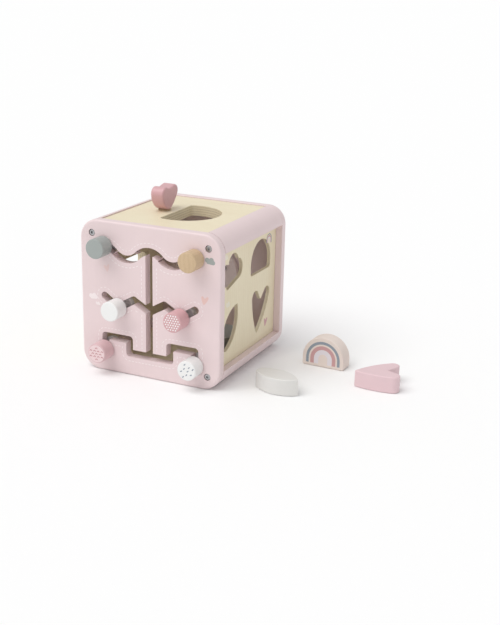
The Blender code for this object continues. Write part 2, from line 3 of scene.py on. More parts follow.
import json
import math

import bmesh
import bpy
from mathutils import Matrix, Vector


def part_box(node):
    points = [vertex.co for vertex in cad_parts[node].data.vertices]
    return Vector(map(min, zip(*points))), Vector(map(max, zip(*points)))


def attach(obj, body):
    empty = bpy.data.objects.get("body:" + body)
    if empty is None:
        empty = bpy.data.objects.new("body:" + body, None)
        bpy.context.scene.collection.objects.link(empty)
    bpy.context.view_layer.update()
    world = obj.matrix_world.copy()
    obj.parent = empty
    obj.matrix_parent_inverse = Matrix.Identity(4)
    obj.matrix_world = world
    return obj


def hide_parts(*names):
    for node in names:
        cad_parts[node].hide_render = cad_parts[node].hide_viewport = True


bl_info = {
    "name": "Shape Sorter Cube",
    "version": (1, 0, 0),
    "blender": (4, 5, 0),
    "location": "3D View > Sidebar > Shape Sorter",
    "description": "Dresses a wooden shape sorter cube with turned knobs, prints, paint and plywood",
    "category": "Add Mesh",
}

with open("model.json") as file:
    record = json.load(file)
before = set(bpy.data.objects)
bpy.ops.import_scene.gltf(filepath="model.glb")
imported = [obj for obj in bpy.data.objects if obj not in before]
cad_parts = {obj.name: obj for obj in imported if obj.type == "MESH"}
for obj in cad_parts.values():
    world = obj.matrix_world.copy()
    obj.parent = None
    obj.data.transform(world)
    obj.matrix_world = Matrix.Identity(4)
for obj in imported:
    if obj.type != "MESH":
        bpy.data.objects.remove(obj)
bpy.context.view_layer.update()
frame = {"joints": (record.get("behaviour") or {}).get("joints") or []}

MM = 0.001
FULL_TURN = math.radians(360)
HALF_TURN = math.radians(180)
QUARTER_TURN = math.radians(90)
ARC_STEP = math.radians(5)
SHARP = math.radians(35)
BLOCK_T = 17.5 * MM
ARCH_HALF = 23.75 * MM
ARCH_TOP = 33 * MM
ARCH_FOOT_R = 2.5 * MM
PILOT_R = 1.8 * MM
PEG_HOLE_R = 5.3 * MM

FRONT_LOW, FRONT_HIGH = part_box("front_plate")
BACK_LOW, BACK_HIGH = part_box("back_plate")
JOINTS = {joint["name"]: joint for joint in frame["joints"]}
KNOBS = ("grey", "beech", "white", "dotted", "chevron", "dashed")
CORNERS = ("bottom_left", "top_left", "bottom_right", "top_right")


def middle(node):
    low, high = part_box(node)
    return (low + high) / 2


# Sizes and colours that a user would change


def length(text, value):
    """A length property, given in millimetres."""
    return bpy.props.FloatProperty(
        name=text, description=f"{text} in metres", default=value * MM, min=0, unit="LENGTH"
    )


def colour(text, value):
    return bpy.props.FloatVectorProperty(
        name=text, description=f"{text}, linear", default=value, size=3, subtype="COLOR", min=0, max=1
    )


class CaseSizes(bpy.types.PropertyGroup):
    """Sizes of the plates, the slots and the panels' holes."""

    corner: length("Plate corner radius", 20)
    edge: length("Plate edge rounding", 2.2)
    inner_edge: length("Plate edge rounding, on the inside", 0.8)
    slot: length("Slot width", 8.1)
    slot_edge: length("Slot edge rounding", 0.7)
    dip: length("Wave depth", 11.1)
    peak_x: length("Zigzag peak, from the middle", 17.6)
    middle_z: length("Zigzag middle height", 71.9)
    step_x: length("Maze step, from the middle", 23.5)
    shelf_z: length("Maze shelf height", 38.3)
    hole_edge: length("Panel hole rounding", 0.4)
    drop_radius: length("Drop hole radius", 37)
    drop_flat: length("Drop hole flat side, left of the middle", 12.5)
    drop_corner: length("Drop hole corner radius", 2.5)
    door_width: length("Door opening width", 63)
    door_foot: length("Door opening foot height", 58)
    door_top: length("Door opening top height", 102)
    door_corner: length("Door opening corner radius", 9)


class PieceSizes(bpy.types.PropertyGroup):
    """Sizes of the turned pieces and the blocks."""

    knob_edge: length("Knob edge rounding", 1.1)
    turned_edge: length("Turned edge rounding", 0.8)
    block_edge: length("Block edge rounding", 1.3)
    play: length("Play of a block in its hole", 1.25)
    heart_edge: length("Heart knob edge rounding", 2)


class PrintSizes(bpy.types.PropertyGroup):
    """Sizes of the printed decoration."""

    film: length("Ink thickness", 0.06)
    stitch: length("Stitch length", 2.7)
    stitch_gap: length("Space between stitches", 1.5)
    stitch_width: length("Stitch width", 0.75)
    stitch_inset: length("Stitches, from the slot's edge", 4.6)
    dot: length("Dot diameter", 1.5)
    dot_pitch: length("Dot spacing", 2.75)


class SorterColours(bpy.types.PropertyGroup):
    """Paints, inks and woods."""

    pink: colour("Pale pink paint", (0.80, 0.655, 0.66))
    # The same pale pink, lightened as painted light: the disc inside the back looks more brightly lit than
    # the back plate around it.
    light: colour("Pale pink paint lightened as painted light", (0.90, 0.78, 0.78))
    rose: colour("Dusty pink paint", (0.66, 0.39, 0.41))
    blush: colour("Light pink paint", (0.76, 0.56, 0.59))
    petal: colour("Soft pink paint", (0.70, 0.48, 0.50))
    petal_ground: colour("Soft pink ink", (0.83, 0.65, 0.66))
    grey: colour("Grey paint", (0.36, 0.39, 0.375))
    # Much lighter than the real grey paint: painted light, standing for the light that falls on the knob
    # stems inside the slots.
    stem: colour("Stem grey paint lightened as painted light", (0.80, 0.79, 0.78))
    stone: colour("Warm white paint", (0.74, 0.725, 0.70))
    white: colour("White paint", (0.86, 0.86, 0.85))
    cream: colour("Pinkish cream paint", (0.86, 0.76, 0.71))
    slate: colour("Slate ink", (0.29, 0.335, 0.385))
    brick: colour("Faded red ink", (0.61, 0.35, 0.35))
    peach: colour("Peach ink", (0.80, 0.55, 0.51))
    faded: colour("Faded peach ink", (0.80, 0.60, 0.58))
    ink_white: colour("White ink", (0.92, 0.91, 0.90))
    stitch: colour("Stitch ink", (0.90, 0.80, 0.80))
    faint: colour("Faint white ink on birch", (0.84, 0.79, 0.66))
    chevron: colour("Chevron ink", (0.55, 0.25, 0.27))
    lilac: colour("Pale lilac ink", (0.79, 0.74, 0.78))
    birch: colour("Birch veneer", (0.84, 0.755, 0.555))
    core: colour("Birch core layers", (0.46, 0.36, 0.23))
    beech: colour("Beech", (0.62, 0.46, 0.29))
    beech_dark: colour("Beech growth bands", (0.40, 0.26, 0.14))
    zinc: colour("Zinc-plated steel", (0.46, 0.46, 0.47))
    # Near-black, darker than the plated screws; used only for the two dial screws.
    black: colour("Near-black steel", (0.035, 0.033, 0.035))


def case():
    return bpy.context.scene.sorter_case


def turned():
    return bpy.context.scene.sorter_pieces


def inks():
    return bpy.context.scene.sorter_prints


def palette():
    return bpy.context.scene.sorter_colours


# Node groups and materials


def place(tree, kind, links=None, **values):
    """Adds a node; values name its inputs or settings, and links its linked inputs."""
    node = tree.nodes.new(kind)
    for name, value in values.items():
        if hasattr(node, name):
            setattr(node, name, value)
        else:
            node.inputs[name.replace("_", " ")].default_value = value
    for name, source in (links or {}).items():
        tree.links.new(source, node.inputs[name])
    return node


def maths(tree, operation, first, second=None):
    """A Math node on two sockets or numbers."""
    node = tree.nodes.new("ShaderNodeMath")
    node.operation = operation
    for socket, value in zip(node.inputs, (first, second)):
        if isinstance(value, bpy.types.NodeSocket):
            tree.links.new(value, socket)
        elif value is not None:
            socket.default_value = value
    return node.outputs[0]


def plus(tree, first, second):
    return maths(tree, "ADD", first, second)


def times(tree, first, second):
    return maths(tree, "MULTIPLY", first, second)


def blend_colours(tree, factor, first, second):
    """A colour Mix node on sockets or colours."""
    node = tree.nodes.new("ShaderNodeMix")
    node.data_type = "RGBA"
    for socket, value in ((node.inputs[0], factor), (node.inputs[6], first), (node.inputs[7], second)):
        if isinstance(value, bpy.types.NodeSocket):
            tree.links.new(value, socket)
        else:
            socket.default_value = value
    return node.outputs[2]


def noise(tree, where, scale, detail=3.0, roughness=0.5):
    node = place(tree, "ShaderNodeTexNoise", {"Vector": where}, Detail=detail, Roughness=roughness)
    node.inputs["Scale"].default_value = scale
    return node.outputs["Fac"]


def stretched(tree, where, stretch):
    """Coordinates scaled along each axis, so that a pattern runs along one of them."""
    node = place(tree, "ShaderNodeMapping", {"Vector": where})
    node.inputs["Scale"].default_value = stretch
    return node.outputs["Vector"]


def new_group(name, inputs, outputs):
    """An empty node group with sockets given as (name, kind, default)."""
    group = bpy.data.node_groups.new(name, "ShaderNodeTree")
    for label, kind, default in inputs:
        socket = group.interface.new_socket(label, in_out="INPUT", socket_type=f"NodeSocket{kind}")
        if default is not None:
            socket.default_value = default
    for label, kind in outputs:
        group.interface.new_socket(label, in_out="OUTPUT", socket_type=f"NodeSocket{kind}")
    return group, group.nodes.new("NodeGroupInput"), group.nodes.new("NodeGroupOutput")


def finish_group(group, results, sockets):
    for name, socket in sockets.items():
        group.links.new(socket, results.inputs[name])
    return group


SURFACE = (("Colour", "Color"), ("Roughness", "Float"), ("Height", "Float"))


def paint_group():
    """Sprayed paint on sanded wood: slow mottling, fine orange peel and the grain that shows through."""
    if "Paint film" in bpy.data.node_groups:
        return bpy.data.node_groups["Paint film"]
    inputs = (
        ("Colour", "Color", None),
        ("Gloss", "Float", 0.42),
        ("Where", "Vector", None),
        ("Grain", "Vector", None),
    )
    group, given, results = new_group("Paint film", inputs, SURFACE)
    where, grain = given.outputs["Where"], given.outputs["Grain"]
    cloudy = noise(group, where, 45, 2)
    peel = noise(group, where, 2600, 2)
    fibres = noise(group, grain, 1, 4, 0.6)
    shade = maths(group, "MULTIPLY_ADD", cloudy, 0.07)
    shade.node.inputs[2].default_value = 0.955
    shade = times(group, shade, plus(group, times(group, fibres, 0.035), 0.983))
    tint = place(group, "ShaderNodeHueSaturation", {"Color": given.outputs["Colour"], "Value": shade})
    uneven = times(group, maths(group, "SUBTRACT", peel, 0.5), 0.1)
    rough = plus(group, given.outputs["Gloss"], uneven)
    height = plus(group, times(group, peel, 0.3), times(group, fibres, 0.7))
    return finish_group(group, results, {"Colour": tint.outputs[0], "Roughness": rough, "Height": height})


def grain_group():
    """Lacquered sawn wood: growth bands, long streaks and short dark flecks along the grain (X)."""
    if "Wood grain" in bpy.data.node_groups:
        return bpy.data.node_groups["Wood grain"]
    inputs = (
        ("Colour", "Color", None),
        ("Dark", "Color", None),
        ("Bands", "Float", 0.3),
        ("Flecks", "Float", 0.3),
        ("Where", "Vector", None),
    )
    group, given, results = new_group("Wood grain", inputs, SURFACE)
    where = given.outputs["Where"]
    wander = noise(group, stretched(group, where, (9, 30, 30)), 1, 2)
    along = stretched(group, where, (10, 130, 130))
    rings = place(group, "ShaderNodeTexWave", {"Vector": along}, wave_type="BANDS")
    rings.bands_direction = "Y"
    rings.inputs["Scale"].default_value = 0.55
    rings.inputs["Distortion"].default_value = 5
    rings.inputs["Detail"].default_value = 2
    rings.inputs["Detail Scale"].default_value = 0.6
    streaks = noise(group, stretched(group, where, (45, 1500, 1500)), 1, 4, 0.6)
    specks = noise(group, stretched(group, where, (260, 2100, 2100)), 1, 1)
    fleck = maths(group, "GREATER_THAN", specks, 0.66)
    amount = times(group, rings.outputs["Fac"], given.outputs["Bands"])
    amount = plus(group, amount, times(group, maths(group, "SUBTRACT", streaks, 0.45), 0.5))
    amount = plus(group, amount, times(group, maths(group, "SUBTRACT", wander, 0.5), 0.35))
    amount = plus(group, amount, times(group, fleck, given.outputs["Flecks"]))
    amount.node.use_clamp = True
    toned = blend_colours(group, amount, given.outputs["Colour"], given.outputs["Dark"])
    rough = plus(group, times(group, streaks, 0.18), 0.36)
    height = maths(group, "SUBTRACT", streaks, times(group, fleck, 0.3))
    return finish_group(group, results, {"Colour": toned, "Roughness": rough, "Height": height})


def metal_group():
    """Turned and plated steel: fine rings about the axis and dull patches."""
    if "Plated steel" in bpy.data.node_groups:
        return bpy.data.node_groups["Plated steel"]
    inputs = (("Colour", "Color", None), ("Where", "Vector", None))
    group, given, results = new_group("Plated steel", inputs, SURFACE)
    where = given.outputs["Where"]
    patches = noise(group, where, 900, 3)
    scratches = noise(group, stretched(group, where, (300, 9000, 300)), 1, 2)
    tint = place(group, "ShaderNodeHueSaturation", {"Color": given.outputs["Colour"]})
    group.links.new(plus(group, times(group, patches, 0.3), 0.85), tint.inputs["Value"])
    rough = plus(group, times(group, patches, 0.25), 0.2)
    return finish_group(group, results, {"Colour": tint.outputs[0], "Roughness": rough, "Height": scratches})


def object_place(tree, centre=(0, 0, 0), turn=(0, 0, 0), scale=(1, 1, 1)):
    """Object coordinates, centred on a point, turned and scaled."""
    source = tree.nodes.new("ShaderNodeTexCoord")
    node = place(tree, "ShaderNodeMapping", {"Vector": source.outputs["Object"]}, vector_type="TEXTURE")
    node.inputs["Location"].default_value = centre
    node.inputs["Rotation"].default_value = turn
    node.inputs["Scale"].default_value = scale
    return node.outputs["Vector"]


def new_material(name, group, bump, bump_depth, **shader_values):
    """A Principled material whose colour, roughness and bump come from a surface group."""
    made = bpy.data.materials.new(name)
    made.use_nodes = True
    tree = made.node_tree
    shader = tree.nodes["Principled BSDF"]
    surface = tree.nodes.new("ShaderNodeGroup")
    surface.node_tree = group
    tree.links.new(surface.outputs["Colour"], shader.inputs["Base Color"])
    tree.links.new(surface.outputs["Roughness"], shader.inputs["Roughness"])
    height = {"Height": surface.outputs["Height"]}
    relief = place(tree, "ShaderNodeBump", height, Strength=bump, Distance=bump_depth)
    tree.links.new(relief.outputs["Normal"], shader.inputs["Normal"])
    for socket, value in shader_values.items():
        shader.inputs[socket.replace("_", " ")].default_value = value
    return made, tree, surface


def painted(name, rgb, gloss=0.42, along=(1, 0, 0)):
    """Satin paint; the grain below it runs along one axis."""
    if name in bpy.data.materials:
        return bpy.data.materials[name]
    made, tree, surface = new_material(name, paint_group(), 0.12, 0.0002, Specular_IOR_Level=0.45)
    surface.inputs["Colour"].default_value = (*rgb, 1)
    surface.inputs["Gloss"].default_value = gloss
    where = object_place(tree)
    tree.links.new(where, surface.inputs["Where"])
    across = tuple(40 if axis else 700 for axis in along)
    tree.links.new(stretched(tree, where, across), surface.inputs["Grain"])
    return made


def inked(name, rgb):
    """Flat screen-printing ink."""
    return painted(name, rgb, 0.6)


def wooden(name, rgb, dark, bands, flecks, turn=(0, 0, 0), centre=(0, 0, 0)):
    """Clear-lacquered wood; turn lays the grain along another axis than X."""
    if name in bpy.data.materials:
        return bpy.data.materials[name]
    made, tree, surface = new_material(name, grain_group(), 0.18, 0.0002, Specular_IOR_Level=0.4)
    surface.inputs["Colour"].default_value = (*rgb, 1)
    surface.inputs["Dark"].default_value = (*dark, 1)
    surface.inputs["Bands"].default_value = bands
    surface.inputs["Flecks"].default_value = flecks
    tree.links.new(object_place(tree, centre, turn), surface.inputs["Where"])
    return made


def plywood(name, outer, turn, plies, thickness):
    """Birch plywood: turn puts Z along the panel's normal; plies are counted down from the outer face."""
    made, tree, surface = new_material(name, grain_group(), 0.15, 0.0002, Specular_IOR_Level=0.4)
    colours = palette()
    where = object_place(tree, outer, turn)
    tree.links.new(where, surface.inputs["Where"])
    surface.inputs["Colour"].default_value = (*colours.birch, 1)
    surface.inputs["Dark"].default_value = (0.60, 0.46, 0.27, 1)
    surface.inputs["Bands"].default_value = 0.10
    surface.inputs["Flecks"].default_value = 0.12
    depth = place(tree, "ShaderNodeSeparateXYZ", {"Vector": where}).outputs["Z"]
    skin = 0.01 * MM
    below = plus(tree, maths(tree, "ABSOLUTE", depth), skin)
    layer = times(tree, below, 0.996 * plies / thickness)
    odd = maths(tree, "GREATER_THAN", maths(tree, "MODULO", layer, 2), 1)
    inside = maths(tree, "GREATER_THAN", layer, 1)
    inside = times(tree, inside, maths(tree, "LESS_THAN", layer, plies - 1))
    seam = maths(tree, "PINGPONG", plus(tree, layer, 1), 1)
    seam = times(tree, maths(tree, "LESS_THAN", seam, 0.16), inside)
    shade = plus(tree, times(tree, odd, 0.22), times(tree, seam, 0.6))
    shade.node.use_clamp = True
    toned = blend_colours(tree, shade, surface.outputs["Colour"], (*colours.core, 1))
    tree.links.new(toned, tree.nodes["Principled BSDF"].inputs["Base Color"])
    return made


def steel(name="zinc"):
    """Plated steel; the name is that of its colour."""
    if name in bpy.data.materials:
        return bpy.data.materials[name]
    made, tree, surface = new_material(name, metal_group(), 0.05, 0.0001, Metallic=1.0)
    surface.inputs["Colour"].default_value = (*getattr(palette(), name), 1)
    tree.links.new(object_place(tree), surface.inputs["Where"])
    return made


# Drawing in a mesh


class Pen:
    """Draws an outline in a flat mesh: a straight run extrudes the last point, and a round one spins it."""

    def __init__(self, mesh, start):
        self.mesh = mesh
        self.last = mesh.verts.new((*start, 0))

    def line(self, end):
        grown = bmesh.ops.extrude_vert_indiv(self.mesh, verts=[self.last])["verts"][0]
        grown.co = (*end, 0)
        self.last = grown
        return self

    def arc(self, centre, angle, steps=0):
        steps = steps or max(2, round(abs(angle) / ARC_STEP))
        swung = bmesh.ops.spin(
            self.mesh, geom=[self.last], cent=(*centre, 0), axis=(0, 0, 1), angle=angle, steps=steps
        )
        self.last = [item for item in swung["geom_last"] if isinstance(item, bmesh.types.BMVert)][0]
        return self

    def close(self):
        """Joins the last point to the first and fills the outline."""
        bmesh.ops.remove_doubles(self.mesh, verts=self.mesh.verts, dist=0.01 * MM)
        ends = [vert for vert in self.mesh.verts if len(vert.link_edges) == 1]
        if len(ends) == 2:
            self.mesh.edges.new(ends)
        bmesh.ops.contextual_create(self.mesh, geom=self.mesh.edges[:])


def verts_of(result, key="geom"):
    return [item for item in result[key] if isinstance(item, bmesh.types.BMVert)]


def edge_bevel(mesh, edges, width, segments):
    if edges and width > 0:
        bmesh.ops.bevel(
            mesh, geom=edges, offset=width, offset_type="OFFSET", segments=segments, profile=0.5,
            affect="EDGES", material=-1, clamp_overlap=True,
        )


def corner_bevel(mesh, verts, width, segments):
    bmesh.ops.bevel(
        mesh, geom=verts, offset=width, offset_type="OFFSET", segments=segments, profile=0.5,
        affect="VERTICES", material=-1,
    )


def thicken(mesh, depth):
    """Extrudes the flat faces up to a depth, as one closed solid."""
    grown = verts_of(bmesh.ops.extrude_face_region(mesh, geom=mesh.faces[:]))
    bmesh.ops.translate(mesh, verts=grown, vec=(0, 0, depth))
    bmesh.ops.recalc_face_normals(mesh, faces=mesh.faces)
    return mesh


def rim_edges(mesh, angle=math.radians(50)):
    return [edge for edge in mesh.edges if edge.is_manifold and edge.calc_face_angle(0) > angle]


def flat_rim(mesh, heights):
    """The sharp edges that lie in the flat ends of a solid."""
    found = []
    for edge in rim_edges(mesh):
        ends = [vert.co.z for vert in edge.verts]
        if abs(ends[0] - ends[1]) < 1e-6 and any(abs(ends[0] - height) < 1e-6 for height in heights):
            found.append(edge)
    return found


def rectangle(low, high):
    """A flat rectangle between two (x, y) corners."""
    mesh = bmesh.new()
    bmesh.ops.create_grid(mesh, x_segments=1, y_segments=1, size=0.5)
    size = (high[0] - low[0], high[1] - low[1], 1)
    bmesh.ops.scale(mesh, verts=mesh.verts, vec=size)
    bmesh.ops.translate(mesh, verts=mesh.verts, vec=((low[0] + high[0]) / 2, (low[1] + high[1]) / 2, 0))
    return mesh


def rounded_rectangle(low, high, radius, segments=12):
    mesh = rectangle(low, high)
    corner_bevel(mesh, mesh.verts[:], radius, segments)
    return mesh


def stadium(start, end, width, steps):
    """A flat straight run with round ends, from one centre to the other."""
    way = Vector(end) - Vector(start)
    half = width / 2
    mesh = bmesh.new()
    side = Vector((way.y, -way.x)).normalized() * half
    pen = Pen(mesh, Vector(start) + side)
    pen.line(Vector(end) + side).arc(end, HALF_TURN, steps)
    pen.line(Vector(start) - side).arc(start, HALF_TURN, steps).close()
    return mesh


def disc(radius, steps=48):
    mesh = bmesh.new()
    bmesh.ops.create_circle(mesh, cap_ends=True, radius=radius, segments=steps)
    return mesh


def turned_solid(profile, steps=64):
    """Spins a profile of (radius, height) points, or ("arc", centre, angle) runs, about Z."""
    mesh = bmesh.new()
    pen = Pen(mesh, profile[0])
    for run in profile[1:]:
        if run[0] == "arc":
            pen.arc(run[1], run[2], 5)
        else:
            pen.line(run)
    if profile[0][0] > 0:
        mesh.verts.ensure_lookup_table()
        mesh.edges.new((pen.last, mesh.verts[0]))
    bmesh.ops.rotate(mesh, verts=mesh.verts, matrix=Matrix.Rotation(QUARTER_TURN, 3, "X"))
    geom = mesh.verts[:] + mesh.edges[:]
    bmesh.ops.spin(
        mesh, geom=geom, cent=(0, 0, 0), axis=(0, 0, 1), angle=FULL_TURN, steps=steps, use_merge=True
    )
    bmesh.ops.remove_doubles(mesh, verts=mesh.verts, dist=0.002 * MM)
    bmesh.ops.dissolve_degenerate(mesh, edges=mesh.edges, dist=0.001 * MM)
    bmesh.ops.recalc_face_normals(mesh, faces=mesh.faces)
    return mesh


# The flat drawing's (x, y, z) laid so that its z points along the named axis
LAID = {
    "+X": Matrix(((0, 0, 1), (1, 0, 0), (0, 1, 0))),
    "-X": Matrix(((0, 0, -1), (-1, 0, 0), (0, 1, 0))),
    "+Y": Matrix(((-1, 0, 0), (0, 0, 1), (0, 1, 0))),
    "-Y": Matrix(((1, 0, 0), (0, 0, -1), (0, 1, 0))),
    "+Z": Matrix.Identity(3),
    "-Z": Matrix(((-1, 0, 0), (0, 1, 0), (0, 0, -1))),
}


def lay(mesh, normal, where=(0, 0, 0), turn=0.0):
    """Turns a mesh in its own plane, lays it across an axis and moves it into place."""
    bmesh.ops.rotate(mesh, verts=mesh.verts, matrix=Matrix.Rotation(turn, 3, "Z"))
    bmesh.ops.transform(mesh, verts=mesh.verts, matrix=LAID[normal].to_4x4())
    bmesh.ops.translate(mesh, verts=mesh.verts, vec=where)
    return mesh


def gather(meshes):
    """One mesh that holds the solids of several."""
    whole = bmesh.new()
    holder = bpy.data.meshes.new("gathered")
    for mesh in meshes:
        mesh.to_mesh(holder)
        mesh.free()
        whole.from_mesh(holder)
    bpy.data.meshes.remove(holder)
    return whole


def loose_object(mesh):
    data = bpy.data.meshes.new("tool")
    mesh.to_mesh(data)
    mesh.free()
    obj = bpy.data.objects.new("tool", data)
    bpy.context.scene.collection.objects.link(obj)
    return obj


def carved(body, tools, operation="DIFFERENCE"):
    """A solid with the tools cut out of it, or joined to it."""
    work = loose_object(body)
    helpers = [loose_object(tool) for tool in tools]
    for helper in helpers:
        step = work.modifiers.new("cut", "BOOLEAN")
        step.operation = operation
        step.object = helper
    graph = bpy.context.evaluated_depsgraph_get()
    data = bpy.data.meshes.new_from_object(work.evaluated_get(graph))
    result = bmesh.new()
    result.from_mesh(data)
    for obj in [work, *helpers]:
        old = obj.data
        bpy.data.objects.remove(obj)
        bpy.data.meshes.remove(old)
    bpy.data.meshes.remove(data)
    bmesh.ops.remove_doubles(result, verts=result.verts, dist=0.01 * MM)
    bmesh.ops.dissolve_degenerate(result, edges=result.edges, dist=0.01 * MM)
    return result


def piece(name, mesh, material, body, replaced=()):
    """Makes a finished mesh a piece that rides on a body and stands for its plain solids."""
    data = bpy.data.meshes.new(name)
    mesh.to_mesh(data)
    mesh.free()
    data.shade_smooth()
    data.set_sharp_from_angle(angle=SHARP)
    data.materials.append(material)
    made = bpy.data.objects.new(name, data)
    bpy.context.scene.collection.objects.link(made)
    normals = made.modifiers.new("face_weighted_normals", "WEIGHTED_NORMAL")
    normals.keep_sharp = True
    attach(made, body)
    if replaced:
        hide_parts(*replaced)
    return made


# Outlines that a block and its hole share


def toward(turn):
    return Vector((math.cos(turn), math.sin(turn)))


def heading(point, centre):
    return math.atan2(point.y - centre.y, point.x - centre.x)


def crossing(first, first_r, second, second_r):
    """Where two circles cross, to the right of the way from the first to the second."""
    way = second - first
    along = (way.length_squared + first_r**2 - second_r**2) / (2 * way.length)
    aside = math.sqrt(first_r**2 - along**2)
    way.normalize()
    return first + along * way + aside * Vector((way.y, -way.x))


def outline(*stations):
    """A closed flat outline through points and counterclockwise arcs, each (centre, radius, start, end)."""
    mesh = bmesh.new()
    pen = None
    for station in stations:
        centre, radius, start, end = station if len(station) == 4 else (Vector(station), 0, 0, 0)
        first = centre + radius * toward(start)
        pen = pen.line(first) if pen else Pen(mesh, first)
        if radius:
            pen.arc(centre, (end - start) % FULL_TURN)
    pen.close()
    return mesh


def leaf_outline(play=0.0):
    """Pointed at +x and round at -x: two side arcs that touch a round end and meet in the tip."""
    half, end_r, side_r = 25 * MM, 8 * MM, 34 * MM
    end = Vector((end_r - half, 0))
    inner = side_r - end_r
    side_x = (side_r**2 - inner**2 + end.x**2 - half**2) / (2 * (end.x - half))
    side_y = math.sqrt(inner**2 - (side_x - end.x) ** 2)
    lower, upper = Vector((side_x, side_y)), Vector((side_x, -side_y))
    low, high = heading(end, lower), heading(end, upper)
    grown = side_r + play
    tip = math.asin(side_y / grown)
    return outline((upper, grown, tip, high), (end, end_r + play, high, low), (lower, grown, low, -tip))


def arch_outline(play=0.0):
    """A round-topped block standing on y = 0."""
    foot, grown = ARCH_HALF - ARCH_FOOT_R, ARCH_FOOT_R + play
    return outline(
        (Vector((foot, ARCH_FOOT_R)), grown, -QUARTER_TURN, 0),
        (Vector((0, ARCH_TOP - ARCH_HALF)), ARCH_HALF + play, 0, HALF_TURN),
        (Vector((-foot, ARCH_FOOT_R)), grown, HALF_TURN, -QUARTER_TURN),
    )


LOVE = (((14.5, 42, 6.5, 90), (-13.8, 36.6, 7.2, 90)), (0, 34), (0, 2, 2))
GRIP = (((9.2, 18.4, 6.6, 40), (-10, 17.4, 7.4, 20)), (-3, 22.6), (-2.4, 8, 8))


def heart_outline(lobes, notch, tip, play=0.0):
    """A lopsided heart: bulging sides from a round tip into two lobes, which fall straight to the notch."""
    (right, right_r, right_side_r), (left, left_r, left_side_r) = (
        (Vector(lobe[:2]) * MM, lobe[2] * MM, lobe[3] * MM) for lobe in lobes
    )
    foot, foot_r, dip = Vector(tip[:2]) * MM, tip[2] * MM, Vector(notch) * MM
    right_side = crossing(right, right_side_r - right_r, foot, right_side_r - foot_r)
    left_side = crossing(foot, left_side_r - foot_r, left, left_side_r - left_r)
    right_top = heading(dip, right) - math.acos(right_r / (dip - right).length)
    left_top = heading(dip, left) + math.acos(left_r / (dip - left).length)
    facing = toward(right_top) + toward(left_top)
    dip += 2 * play * facing / facing.length_squared
    return outline(
        (right_side, right_side_r + play, heading(foot, right_side), heading(right, right_side)),
        (right, right_r + play, heading(right, right_side), right_top),
        dip,
        (left, left_r + play, left_top, heading(left, left_side)),
        (left_side, left_side_r + play, heading(left, left_side), heading(foot, left_side)),
        (foot, foot_r + play, heading(foot, left_side), heading(foot, right_side)),
    )


def love_outline(play=0.0):
    return heart_outline(*LOVE, play)


PUFFS = ((14.5, -3.2, 9.25), (6.0, 5.5, 10.75), (-12.5, 2.5, 10.25), (-11.5, -9.7, 2.75))


def cloud_outline(play=0.0):
    """Round puffs that run into each other above a flat underside."""
    puffs = [(Vector((x, y)) * MM, radius * MM + play) for x, y, radius in PUFFS]
    corners = [crossing(*one, *other) for one, other in zip(puffs, puffs[1:])]
    starts = [-QUARTER_TURN] + [heading(corner, puff[0]) for corner, puff in zip(corners, puffs[1:])]
    ends = [heading(corner, puff[0]) for corner, puff in zip(corners, puffs)] + [-QUARTER_TURN]
    return outline(*((*puff, start, end) for puff, start, end in zip(puffs, starts, ends)))


# Slots


def wave_arc():
    """Radius, sweep and centre heights of the wave's arcs: crests at both ends and in the middle."""
    quarter = middle("beech_knob").x / 4
    sweep = 2 * math.atan2(case().dip / 2, quarter)
    radius = quarter / math.sin(sweep)
    crest = middle("beech_knob").z
    return radius, sweep, crest - radius, crest - case().dip + radius


def straight_runs():
    """Start and end, as (x, z), of every straight run of the slots."""
    sizes = case()
    end_x = middle("beech_knob").x
    high, low = middle("grey_knob").z, middle("dashed_knob").z
    rest = middle("dotted_knob")
    slide = JOINTS["dotted_knob_run"]
    rise = (rest.x - sizes.peak_x) * slide["axis"][2] / -slide["axis"][0]
    peak_z = rest.z + rise
    runs = [((0, low), (0, high))]
    for side in (-1, 1):
        points = ((end_x, peak_z), (rest.x, rest.z), (sizes.peak_x, peak_z), (0, sizes.middle_z))
        shelf, step = sizes.shelf_z, sizes.step_x
        maze = ((end_x, low), (end_x, shelf), (step, shelf), (step, low), (0, low))
        for route in (points, maze):
            spots = [(side * x, z) for x, z in route]
            runs += zip(spots, spots[1:])
    return runs


def wave_runs():
    """Centre, start angle and sweep of every arc of the wave slot, from left to right."""
    _, sweep, crest_z, dip_z = wave_arc()
    end_x = middle("beech_knob").x
    up, down = QUARTER_TURN, -QUARTER_TURN
    return [
        ((-end_x, crest_z), up, -sweep),
        ((-end_x / 2, dip_z), down - sweep, 2 * sweep),
        ((0, crest_z), up + sweep, -2 * sweep),
        ((end_x / 2, dip_z), down - sweep, 2 * sweep),
        ((end_x, crest_z), up + sweep, -sweep),
    ]


def arc_band(centre, radius, start, sweep, width):
    """A flat curved run of even width."""
    mesh = bmesh.new()
    out = Vector((math.cos(start), math.sin(start)))
    ends = [mesh.verts.new((*(Vector(centre) + out * (radius + side * width / 2)), 0)) for side in (-1, 1)]
    edge = mesh.edges.new(ends)
    steps = max(4, round(abs(sweep) / ARC_STEP))
    bmesh.ops.spin(mesh, geom=[*ends, edge], cent=(*centre, 0), axis=(0, 0, 1), angle=sweep, steps=steps)
    return mesh


def slot_cutters(width, low_y, high_y):
    """Cutters for the whole network of slots, standing across the front plate."""
    flats = [stadium(start, end, width, 17 + i % 4) for i, (start, end) in enumerate(straight_runs())]
    radius = wave_arc()[0]
    flats += [arc_band(centre, radius, start, sweep, width) for centre, start, sweep in wave_runs()]
    for name in ("grey_knob", "beech_knob"):
        cap = disc(width / 2, 40)
        spot = middle(name)
        bmesh.ops.translate(cap, verts=cap.verts, vec=(spot.x, spot.z, 0))
        flats.append(cap)
    step = 0.07 * MM
    reach = high_y - low_y
    return [lay(thicken(flat, reach), "-Y", (0, high_y + i * step, 0)) for i, flat in enumerate(flats)]


# Building the pieces


